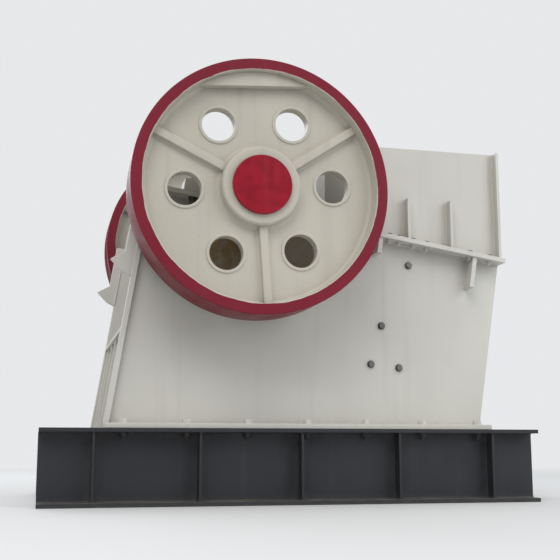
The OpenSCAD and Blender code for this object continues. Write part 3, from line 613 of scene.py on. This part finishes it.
def add_to(bm, other, place=Matrix.Identity(4)):
    bmesh.ops.transform(other, matrix=place, verts=other.verts[:])
    if place.determinant() < 0:
        bmesh.ops.reverse_faces(other, faces=other.faces[:])
    kept = bpy.data.meshes.new("kept")
    other.to_mesh(kept)
    other.free()
    bm.from_mesh(kept)
    bpy.data.meshes.remove(kept)


def finished(name, bm, material, body, smooth=35):
    mesh = bpy.data.meshes.new(name)
    bm.to_mesh(mesh)
    bm.free()
    mesh.shade_smooth()
    mesh.set_sharp_from_angle(angle=math.radians(smooth))
    mesh.materials.append(material)
    made = bpy.data.objects.new(name, mesh)
    bpy.context.collection.objects.link(made)
    flat_first = made.modifiers.new("flat_first", "WEIGHTED_NORMAL")
    flat_first.keep_sharp = True
    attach(made, body)
    mesh.calc_loop_triangles()
    print(name, len(mesh.loop_triangles), "triangles")
    return made


# %% [markdown]
# ### The flywheel's section
# Measured from the wheel's outer face inwards, the section goes round the rim, along the
# back of the web, round the hub and back along the web's front. The far wheel drives the
# machine, so its rim has belt grooves; they are more corners of the same outline.

# %% Section of a flywheel
WHEEL_W = wheel_out - wheel_in
WEB_FRONT = 0.100
WEB_BACK = 0.160
HUB_R = 0.243
CAP_T = 0.026
SEAT_R = 0.1302
GROOVES = 8
GROOVE_PITCH = 0.028
GROOVE_DEPTH = 0.022
HALF_FLOOR = 0.006
HALF_MOUTH = HALF_FLOOR + GROOVE_DEPTH * math.tan(math.radians(15))
BREAK = 0.005
FILLET = 0.022
DRAFT = 0.006


def rim_outline(grooved):
    outline = [(wheel_r, 0, BREAK)]
    for i in range(GROOVES if grooved else 0):
        middle = WHEEL_W / 2 + (i - (GROOVES - 1) / 2) * GROOVE_PITCH
        outline += [
            (wheel_r, middle - HALF_MOUTH, 0.0015),
            (wheel_r - GROOVE_DEPTH, middle - HALF_FLOOR, 0.0015),
            (wheel_r - GROOVE_DEPTH, middle + HALF_FLOOR, 0.0015),
            (wheel_r, middle + HALF_MOUTH, 0.0015),
        ]
    return outline + [(wheel_r, WHEEL_W, BREAK)]


def wheel_outline(grooved):
    inner = wheel_r - RIM_T
    return rim_outline(grooved) + [
        (inner + 0.001, WHEEL_W, BREAK),
        (inner - DRAFT, WEB_BACK, FILLET),
        (HUB_R + DRAFT, WEB_BACK, FILLET),
        (HUB_R, WHEEL_W, BREAK),
        (SEAT_R, WHEEL_W, 0),
        (SEAT_R, CAP_T, 0),
        (HUB_R, CAP_T, 0.018),
        (HUB_R + DRAFT, WEB_FRONT, FILLET),
        (inner - DRAFT, WEB_FRONT, FILLET),
        (inner + 0.001, 0, BREAK),
    ]


print("corners of the plain rim", len(rim_outline(False)))
print("corners of the grooved rim", len(rim_outline(True)))

# %% [markdown]
# ### Holes, raised edges and spokes
# A boolean cuts the six round holes, a little wider than they end up, and a separately
# spun ring fills each: it has the raised edge, the bore and a fillet that runs out on to
# the web, so no cut edge shows. A spoke is a flat outline too, extruded from the hub
# into the rim, with the same fillets along its foot.

# %% Rings round the holes, and spokes
HOLE_R = 0.103
HOLE_RING_R = 0.460
HOLES = 6
LIP_W = 0.020
LIP_H = 0.008
SPOKE_W = 0.050
SPOKE_H = 0.036
SPOKES = 3
FOOT_FLARE = 0.016
SKIN = 0.0004
DRILL_R = HOLE_R + 0.012
DRILL_DEPTH = 0.12


def hole_ring():
    edge = HOLE_R + LIP_W
    foot = edge + FOOT_FLARE
    return spun([
        (HOLE_R, WEB_FRONT - LIP_H, 0.004),
        (edge, WEB_FRONT - LIP_H, 0.006),
        (edge, WEB_FRONT - SKIN, 0.008),
        (foot, WEB_FRONT - SKIN, 0),
        (foot, WEB_BACK + SKIN, 0),
        (edge, WEB_BACK + SKIN, 0.008),
        (edge, WEB_BACK + LIP_H, 0.006),
        (HOLE_R, WEB_BACK + LIP_H, 0.004),
    ], 64)


def spoke_bar(surface, top):
    half = SPOKE_W / 2
    root = surface - math.copysign(LIP_H, top - surface)
    skin = surface + math.copysign(SKIN, top - surface)
    bm = rounded_outline([
        (-half, top, 0.007),
        (half, top, 0.007),
        (half + 0.003, skin, 0.012),
        (half + FOOT_FLARE, skin, 0),
        (half + FOOT_FLARE, root, 0),
        (-half - FOOT_FLARE, root, 0),
        (-half - FOOT_FLARE, skin, 0),
        (-half - 0.003, skin, 0.012),
    ])
    start, end = HUB_R - 0.008, wheel_r - RIM_T + 0.004
    bmesh.ops.translate(bm, verts=bm.verts[:], vec=(0, 0, start))
    grown = bmesh.ops.extrude_face_region(bm, geom=bm.faces[:], use_keep_orig=True)
    new_verts = [part for part in grown["geom"] if isinstance(part, bmesh.types.BMVert)]
    bmesh.ops.translate(bm, verts=new_verts, vec=(0, 0, end - start))
    bmesh.ops.recalc_face_normals(bm, faces=bm.faces[:])
    return bm


def around(index, count, offset=0.0):
    return Matrix.Rotation(-math.radians(index * 360 / count + offset), 4, "Y")


print("ring faces", len(hole_ring().faces))


# %% A boolean that leaves a clean mesh
def with_cut(bm, cutter_bm):
    body_mesh = bpy.data.meshes.new("to_cut")
    bm.to_mesh(body_mesh)
    bm.free()
    cutter_mesh = bpy.data.meshes.new("cutter")
    cutter_bm.to_mesh(cutter_mesh)
    cutter_bm.free()
    body_object = bpy.data.objects.new("to_cut", body_mesh)
    cutter = bpy.data.objects.new("cutter", cutter_mesh)
    for helper in (body_object, cutter):
        bpy.context.collection.objects.link(helper)
    cut = body_object.modifiers.new("holes", "BOOLEAN")
    cut.operation = "DIFFERENCE"
    cut.solver = "EXACT"
    cut.object = cutter
    graph = bpy.context.evaluated_depsgraph_get()
    cut_bm = bmesh.new()
    cut_bm.from_object(body_object, graph)
    for helper in (body_object, cutter):
        bpy.data.objects.remove(helper)
    bpy.data.meshes.remove(body_mesh)
    bpy.data.meshes.remove(cutter_mesh)
    return cut_bm


def wheel_casting(grooved):
    drills = bmesh.new()
    for i in range(HOLES):
        middle = Matrix.Translation((HOLE_RING_R, (WEB_FRONT + WEB_BACK) / 2, 0))
        bmesh.ops.create_cone(drills, cap_ends=True, segments=64, radius1=DRILL_R,
            radius2=DRILL_R, depth=DRILL_DEPTH,
            matrix=around(i, HOLES) @ middle @ Matrix.Rotation(math.radians(90), 4, "X"))
    bm = with_cut(spun(wheel_outline(grooved), 144), drills)
    for i in range(HOLES):
        add_to(bm, hole_ring(), around(i, HOLES) @ Matrix.Translation((HOLE_RING_R, 0, 0)))
    upright = Matrix.Rotation(math.radians(90), 4, "Y")
    for i in range(SPOKES):
        for surface, top in ((WEB_FRONT, WEB_FRONT - SPOKE_H), (WEB_BACK, WEB_BACK + SPOKE_H)):
            add_to(bm, spoke_bar(surface, top), around(i, SPOKES, 30) @ upright)
    return bm


# %% Place the two flywheels
near_face = rotor_frame @ Matrix.Translation((0, -wheel_out, 0))
far_face = rotor_frame @ Matrix.Translation((0, wheel_out, 0)) @ Matrix.Diagonal((1, -1, 1, 1))
for side, place in (("near", near_face), ("far", far_face)):
    wheel_bm = bmesh.new()
    add_to(wheel_bm, wheel_casting(side == "far"), place)
    wheel = finished("flywheel_casting_" + side, wheel_bm, flywheel_paint, "rotor", 28)
    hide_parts("flywheel_" + side)

# %% [markdown]
# ### Counterweight and hub cap
# The counterweight fills a segment of the wheel. A circle is cut by a plane, which leaves
# the segment, and then extruded. The cap is a disc with a rounded edge, spun like the wheel.

# %% Counterweights and caps
WEIGHT_T = 0.060
WEIGHT_EDGE = 0.628
WEIGHT_R = wheel_r - RIM_T - 0.0015
CAP_R = 0.182


def segment_plate():
    bm = bmesh.new()
    bmesh.ops.create_circle(bm, cap_ends=True, segments=180, radius=WEIGHT_R)
    bmesh.ops.bisect_plane(bm, geom=bm.verts[:] + bm.edges[:] + bm.faces[:], dist=0.00001,
        plane_co=(0, WEIGHT_EDGE, 0), plane_no=(0, -1, 0), clear_outer=True)
    grown = bmesh.ops.extrude_face_region(bm, geom=bm.faces[:], use_keep_orig=True)
    lifted = [part for part in grown["geom"] if isinstance(part, bmesh.types.BMVert)]
    bmesh.ops.translate(bm, verts=lifted, vec=(0, 0, WEIGHT_T))
    bmesh.ops.recalc_face_normals(bm, faces=bm.faces[:])
    sharp = [edge for edge in bm.edges if edge.calc_face_angle(0) > math.radians(60)]
    bmesh.ops.bevel(bm, geom=sharp, offset=0.004, offset_type="OFFSET", segments=2, profile=0.5,
        affect="EDGES", material=-1, clamp_overlap=True)
    bmesh.ops.transform(bm, matrix=Matrix.Translation((0, WEB_FRONT, 0))
        @ Matrix.Rotation(math.radians(90), 4, "X"), verts=bm.verts[:])
    return bm


for side, place in (("near", near_face), ("far", far_face)):
    weight_bm = bmesh.new()
    add_to(weight_bm, segment_plate(), place)
    weight = finished("counterweight_plate_" + side, weight_bm, flywheel_paint, "rotor")
    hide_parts("counterweight_" + side)
    cap_bm = bmesh.new()
    cap_outline = [(0, 0, 0), (CAP_R, 0.0005, 0.004), (CAP_R, CAP_T, 0.002), (0, CAP_T, 0)]
    add_to(cap_bm, spun(cap_outline, 96), place)
    cap = finished("hub_cap_disc_" + side, cap_bm, cap_enamel, "rotor")
    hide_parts("hub_cap_" + side)

# %% [markdown]
# ## Bolts and nuts
# A hexagon bolt is a washer, a head with its corners turned off and sometimes the end of the
# thread. One small mesh is made for each row and stamped wherever a bolt of it sits, so
# many bolts stay one light piece. A place is a matrix whose Z axis points out of the plate.
# Each bolt gets a roll of its own, because nobody lines up the heads.


# %% Pieces of a bolt
def disc(bm, radius, low, high, segments, chamfer=0.0):
    grown = bmesh.ops.create_cone(bm, cap_ends=True, segments=segments, radius1=radius,
        radius2=radius, depth=high - low, matrix=Matrix.Translation((0, 0, (low + high) / 2)))
    if chamfer > 0:
        top = [edge for edge in {edge for vert in grown["verts"] for edge in vert.link_edges}
            if all(vert.co.z > high - 0.00001 for vert in edge.verts)]
        bmesh.ops.bevel(bm, geom=top, offset=chamfer, offset_type="OFFSET", segments=2,
            profile=0.5, affect="EDGES", material=-1)


def bolt_mesh(size, thread):
    bm = bmesh.new()
    washer = 0.17 * size
    head = washer + 0.66 * size
    disc(bm, 1.03 * size, -0.0005, washer, 28, 0.03 * size)
    disc(bm, 0.88 * size, washer - 0.0005, head, 6, 0.07 * size)
    disc(bm, 0.74 * size, head - 0.0005, head + 0.02 * size, 28)
    if thread:
        for turn in range(5):
            low = head + turn * 0.09 * size
            disc(bm, 0.5 * size, low - 0.0005, low + 0.08 * size, 20, 0.03 * size)
    mesh = bpy.data.meshes.new("bolt")
    bm.to_mesh(mesh)
    bm.free()
    return mesh


def seated(frame_matrix, place, outward, roll):
    turn = Vector(outward).to_track_quat("Z", "X").to_matrix().to_4x4()
    return frame_matrix @ Matrix.Translation(place) @ turn @ Matrix.Rotation(roll, 4, "Z")


def stamped(bm, stamp, places):
    for place in places:
        first = len(bm.verts)
        bm.from_mesh(stamp)
        bm.verts.ensure_lookup_table()
        bmesh.ops.transform(bm, matrix=place, verts=bm.verts[first:])


def bolts(name, size, places, material, body, thread=False):
    bm = bmesh.new()
    stamp = bolt_mesh(size, thread)
    stamped(bm, stamp, places)
    bpy.data.meshes.remove(stamp)
    print(name, len(places), "bolts")
    return finished(name, bm, material, body)


# %% [markdown]
# ### Where the bolts sit
# Each bearing housing is held by four bolts through the top flange, the chute's edge by a row
# of smaller ones, the cheek plates by bolts through the side plates and the body by two rows
# on the base frame. Every row is placed by the sizes of the plates that it holds.

# %% Bolts of the body
UP = (0, 0, 1)
DOWN = (0, 0, -1)
M20, M24, M30 = 0.020, 0.024, 0.030
FLANGE_TOP = -0.045
FLANGE_T = 0.030
FLANGE_OUT = side_out + 0.115
HOUSING_FOOT = 0.080
HOUSING_BOLT_X = 0.360
HOUSING_BOLT_Y = (0.700, 0.787)
CHUTE_BOLT_X = (0.95, 1.02, 1.115, 1.210, 1.52, 1.66)
CHUTE_BOLT_Y = side_out + 0.060
CHEEK_BOLTS = ((0.885, -0.780), (0.810, -1.030), (1.000, -1.050), (1.080, -0.374))
sides = (-1, 1)

housing_places = [
    seated(body_frame, (x, side * y, FLANGE_TOP + HOUSING_FOOT), UP, x + y)
    for side in sides for x in (-HOUSING_BOLT_X, HOUSING_BOLT_X) for y in HOUSING_BOLT_Y
]
bolts("housing_bolts", M30, housing_places, bolt_steel, "frame", True)
nut_places = [
    seated(body_frame, (x, side * HOUSING_BOLT_Y[1], FLANGE_TOP - FLANGE_T), DOWN, x)
    for side in sides for x in (-HOUSING_BOLT_X, HOUSING_BOLT_X)
]
bolts("housing_nuts", M30, nut_places, bolt_steel, "frame", True)
for row_name, z, outward, paint in (
    ("chute_bolts", FLANGE_TOP, UP, bolt_steel),
    ("chute_nuts", FLANGE_TOP - FLANGE_T, DOWN, cream_enamel),
):
    chute_places = [
        seated(body_frame, (x, side * CHUTE_BOLT_Y, z), outward, x * 7)
        for side in sides for x in CHUTE_BOLT_X
    ]
    bolts(row_name, M20, chute_places, paint, "frame", outward == DOWN)
cheek_places = [
    seated(level_frame, (x, side * side_out, z), (0, side, 0), x * 5)
    for side in sides for x, z in CHEEK_BOLTS
]
bolts("cheek_bolts", M24, cheek_places, bolt_steel, "frame")

# %% Bolts of the bars that clamp the jaw plates
JAW_TOP = (0.610, 0, -0.115)
NIP = math.radians(24.54)
CLAMP_BOLTS = 6
CLAMP_HALF = 0.48
die_frame = jaw_frame @ Matrix.Translation(JAW_TOP) @ Matrix.Rotation(-NIP, 4, "Y")
for bar_name, bar_frame, x, z, outward, bar_body in (
    ("fixed_bar_bolts", body_frame, 1.441, -0.074, (-0.771, 0, 0.637), "frame"),
    ("swing_bar_bolts", die_frame, -0.051, -0.0235, (0.832, 0, 0.555), "jaw"),
):
    bar_places = [
        seated(bar_frame, (x, CLAMP_HALF * (2 * i / (CLAMP_BOLTS - 1) - 1), z), outward, i * 2)
        for i in range(CLAMP_BOLTS)
    ]
    bolts(bar_name, M24, bar_places, bolt_steel, bar_body)

# %% Bolts of the foot on the base frame
FOOT_T = 0.030
BEAM_FLANGE = 0.024
FOOT_BOLT_Y = 0.870
FOOT_BOLTS = 7
FOOT_BOLT_FIRST = -1.070
FOOT_BOLT_STEP = 0.372
foot_row = [FOOT_BOLT_FIRST + i * FOOT_BOLT_STEP for i in range(FOOT_BOLTS)]
for row_name, z, outward, paint in (
    ("foot_bolts", base_h + FOOT_T, UP, cream_enamel),
    ("foot_nuts", base_h - BEAM_FLANGE, DOWN, slate_enamel),
):
    foot_places = [
        seated(Matrix.Identity(4), (x, side * FOOT_BOLT_Y, z), outward, x * 9)
        for side in sides for x in foot_row
    ]
    bolts(row_name, M30, foot_places, paint, "frame", outward == DOWN)

# %% [markdown]
# ## Weld beads
# The body is welded, so a rippled bead runs along every inside corner between two plates.
# A bead is a thin eight-sided bar along the corner, half sunk in both plates. It is cut
# into short lengths and every second ring is shrunk a little, which leaves the ripples of
# a weld laid in small steps.

# %% A bead along a corner
RIPPLE = 0.007
BEAD = 0.007


def weld_bead(bm, start, end):
    start, end = Vector(start), Vector(end)
    run = end - start
    rings = max(2, round(run.length / RIPPLE))
    bead = bmesh.new()
    bmesh.ops.create_cone(bead, cap_ends=True, segments=8, radius1=BEAD, radius2=BEAD,
        depth=run.length)
    along = [edge for edge in bead.edges
        if abs(edge.verts[0].co.z - edge.verts[1].co.z) > run.length / 2]
    bmesh.ops.subdivide_edges(bead, edges=along, cuts=rings - 1, use_grid_fill=True)
    for vert in bead.verts:
        ring = round((vert.co.z / run.length + 0.5) * rings)
        share = 0.72 if ring in (0, rings) else 0.86 if ring % 2 else 1.0
        vert.co.x *= share
        vert.co.y *= share
    place = Matrix.Translation((start + end) / 2) @ run.to_track_quat("Z", "X").to_matrix().to_4x4()
    add_to(bm, bead, place)


def beads(name, frame_matrix, runs, material, body):
    bm = bmesh.new()
    for start, end in runs:
        weld_bead(bm, start, end)
    bmesh.ops.transform(bm, matrix=frame_matrix, verts=bm.verts[:])
    print(name, len(runs), "beads")
    return finished(name, bm, material, body, 60)


# %% Welds of the side plates and their ribs
REAR = -0.645
FRONT = 1.755
STUBS = ((0.870, 0.120), (1.530, 0.220))
RIB_T = 0.030
RIB_OUT = FLANGE_OUT - 0.015
EDGE_RIB_OUT = side_out + 0.045
under = FLANGE_TOP - FLANGE_T


def low_line(x, rise=0.0):
    return (x * math.sin(LEAN) - (shaft.z - base_h) + rise) / math.cos(LEAN)


side_runs = []
for side in sides:
    plate = side * side_out
    edge_rib = side * EDGE_RIB_OUT
    side_runs.append(((REAR + RIB_T, plate, under), (FRONT, plate, under)))
    side_runs.append(((REAR + RIB_T, plate, low_line(REAR, FOOT_T)), (REAR + RIB_T, plate, under)))
    side_runs.append(((REAR + RIB_T, plate, under), (REAR + RIB_T, edge_rib, under)))
    side_runs.append(((REAR + RIB_T, plate, low_line(REAR, FOOT_T)),
        (FRONT, plate, low_line(FRONT, FOOT_T))))
    for x, h in STUBS:
        for face in (x, x + RIB_T):
            side_runs.append(((face, plate, under), (face, plate, FLANGE_TOP - FLANGE_T / 2 - h)))
            side_runs.append(((face, plate, under), (face, side * RIB_OUT, under)))
beads("side_plate_welds", body_frame, side_runs, cream_enamel, "frame")

# %% Welds of the feed chute
CHUTE_RISE = 0.425
CHUTE_FRONT = 1.725
CHUTE_BACK = 0.510
CHUTE_T = 0.025
BACK_FACES = (0.5164, 0.5414)
BACK_RISE = 0.268
GUSSETS = (1.070, 1.370)
GUSSET_T = 0.020
GUSSET_OUT = side_out + 0.065
GUSSET_RISE = 0.070


def top_line(x):
    return FLANGE_TOP / math.cos(LEAN) - x * math.tan(LEAN)


chute_runs = []
for side in sides:
    plate = side * side_out
    rib_x = CHUTE_FRONT - GUSSET_T
    rib_foot = (rib_x, plate, top_line(rib_x))
    chute_runs.append(((CHUTE_BACK, plate, top_line(CHUTE_BACK)), rib_foot))
    chute_runs.append((rib_foot, (rib_x, plate, CHUTE_RISE)))
    for x in GUSSETS:
        for face in (x - GUSSET_T / 2, x + GUSSET_T / 2):
            foot = (face, plate, top_line(face))
            chute_runs.append((foot, (face, plate, GUSSET_RISE)))
            chute_runs.append((foot, (face, side * GUSSET_OUT, top_line(face))))
for side in sides:
    plate = side * (side_out - CHUTE_T)
    for x in BACK_FACES:
        chute_runs.append(((x, plate, top_line(x)), (x, plate, BACK_RISE)))
beads("chute_welds", level_frame, chute_runs, cream_enamel, "frame")

# %% Welds of the chute's front lip
WALL_X = 1.500
LIP_TOP = FLANGE_TOP + 0.130
LIP_X = (CHUTE_FRONT - LIP_TOP * math.sin(LEAN)) / math.cos(LEAN)
lip_half = side_out - CHUTE_T
lip_runs = []
for foot, head in ((WALL_X, LIP_X - CHUTE_T), (WALL_X + CHUTE_T, LIP_X)):
    lip_runs.append(((foot, -lip_half, FLANGE_TOP), (foot, lip_half, FLANGE_TOP)))
    for side in sides:
        plate = side * lip_half
        lip_runs.append(((foot, plate, FLANGE_TOP), (head, plate, LIP_TOP)))
beads("chute_lip_welds", body_frame, lip_runs, cream_enamel, "frame")

# %% Welds of the front wall and its ribs
WALL_T = 0.060
LOW_Z = -1.600
WALL_RIBS = 4
FLANGES = 4
wall_face = WALL_X + WALL_T
flange_step = (under - LOW_Z) / (FLANGES - 1)
rib_out_x = FRONT - 0.015


def rib_place(index):
    return (index - (WALL_RIBS - 1) / 2) * 2 * side_in / WALL_RIBS


wall_runs = []
for row in range(FLANGES - 1):
    low = LOW_Z + row * flange_step + FLANGE_T
    high = LOW_Z + (row + 1) * flange_step
    for z in (low, high):
        wall_runs.append(((wall_face, -side_in, z), (wall_face, side_in, z)))
    for side in sides:
        wall_runs.append(((wall_face, side * side_in, low), (wall_face, side * side_in, high)))
    for index in range(WALL_RIBS):
        for face in (rib_place(index) - RIB_T / 2, rib_place(index) + RIB_T / 2):
            wall_runs.append(((wall_face, face, low), (wall_face, face, high)))
            wall_runs.append(((wall_face, face, low), (rib_out_x, face, low)))
            wall_runs.append(((wall_face, face, high), (rib_out_x, face, high)))
beads("front_wall_welds", body_frame, wall_runs, cream_enamel, "frame")

# %% Welds of the rear wall, its shelves and its brackets
REAR_RIB = REAR + 0.010
REAR_PANEL = REAR + 0.085
REAR_INNER = REAR_PANEL + 0.050
REAR_LOW = LOW_Z + 0.010
REAR_TOP = -0.9327
BRACKET_TOP, BRACKET_LOW = -0.180, -0.620
SHELVES = (-1.4027, -1.0827)
SHELF_END = 0.0558
rear_low, rear_high = REAR_LOW + FLANGE_T, REAR_TOP - FLANGE_T
rear_runs = [((REAR_PANEL, -side_in, z), (REAR_PANEL, side_in, z)) for z in (rear_low, rear_high)]
rear_runs += [((REAR_INNER, -side_in, z), (REAR_INNER, side_in, z)) for z in SHELVES]
for side in sides:
    inside = side * side_in
    rear_runs.append(((REAR_PANEL, inside, rear_low), (REAR_PANEL, inside, rear_high)))
    for y in (inside, side * side_out):
        rear_runs.append(((REAR, y, BRACKET_LOW), (REAR, y, BRACKET_TOP)))
    for z in SHELVES:
        rear_runs.append(((REAR_INNER, inside, z), (SHELF_END, inside, z)))
for index in range(WALL_RIBS):
    for face in (rib_place(index) - RIB_T / 2, rib_place(index) + RIB_T / 2):
        rear_runs.append(((REAR_PANEL, face, rear_low), (REAR_PANEL, face, rear_high)))
        for z in (rear_low, rear_high):
            rear_runs.append(((REAR_PANEL, face, z), (REAR_RIB, face, z)))
beads("rear_wall_welds", body_frame, rear_runs, cream_enamel, "frame")

# %% Welds of the base frame
STIFFENERS = 5
STIFFENER_T = 0.016
BASE_L = beam_high.x - beam_low.x
beam_middle = -(beam_low.y + beam_high.y) / 2
web_out = beam_middle + STIFFENER_T / 2
stiffener_out = -beam_low.y - 0.012
base_runs = []
for side in sides:
    for z in (BEAM_FLANGE, base_h - BEAM_FLANGE):
        base_runs.append(((-BASE_L / 2, side * web_out, z), (BASE_L / 2, side * web_out, z)))
    for index in range(STIFFENERS):
        x = (index - (STIFFENERS - 1) / 2) * BASE_L / STIFFENERS
        for face in (x - STIFFENER_T / 2, x + STIFFENER_T / 2):
            web = side * web_out
            base_runs.append(((face, web, BEAM_FLANGE), (face, web, base_h - BEAM_FLANGE)))
            for z in (BEAM_FLANGE, base_h - BEAM_FLANGE):
                base_runs.append(((face, web, z), (face, side * stiffener_out, z)))
beads("base_frame_welds", Matrix.Identity(4), base_runs, slate_enamel, "frame")

# %% [markdown]
# ## Coil springs
# The springs that draw the moving jaw back are wound from round bar. A circle that is spun
# while it moves along the spin's axis draws a helix, which is what the dvec of the spin
# operator is for.

# %% Wind the tension springs
WIRE_R = 0.013
SPRING_TURNS = 6
WIRE_SIDES = 20
TURN_STEPS = 40
spring_low, spring_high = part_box("tension_springs")
SPRING_L = spring_high.x - spring_low.x
SPRING_R = (spring_high.z - spring_low.z) / 2 - WIRE_R
spring_y = spring_high.y - SPRING_R - WIRE_R
spring_z = (spring_high.z + spring_low.z) / 2


def coil():
    bm = bmesh.new()
    steps = TURN_STEPS * SPRING_TURNS
    rise = (SPRING_L - 2 * WIRE_R) / steps
    start = Matrix.Translation((SPRING_R, 0, WIRE_R)) @ Matrix.Rotation(math.radians(90), 4, "X")
    bmesh.ops.create_circle(bm, cap_ends=True, segments=WIRE_SIDES, radius=WIRE_R, matrix=start)
    bmesh.ops.spin(bm, geom=bm.faces[:], cent=(0, 0, 0), axis=(0, 0, 1), dvec=(0, 0, rise),
        angle=2 * math.pi * SPRING_TURNS, steps=steps, use_merge=False)
    bmesh.ops.recalc_face_normals(bm, faces=bm.faces[:])
    return bm


springs_bm = bmesh.new()
for side in sides:
    foot = Matrix.Translation((spring_high.x, side * spring_y, spring_z))
    add_to(springs_bm, coil(), foot @ Matrix.Rotation(math.radians(-90), 4, "Y"))
springs = finished("spring_coils", springs_bm, spring_enamel, "frame", 60)
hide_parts("tension_springs")
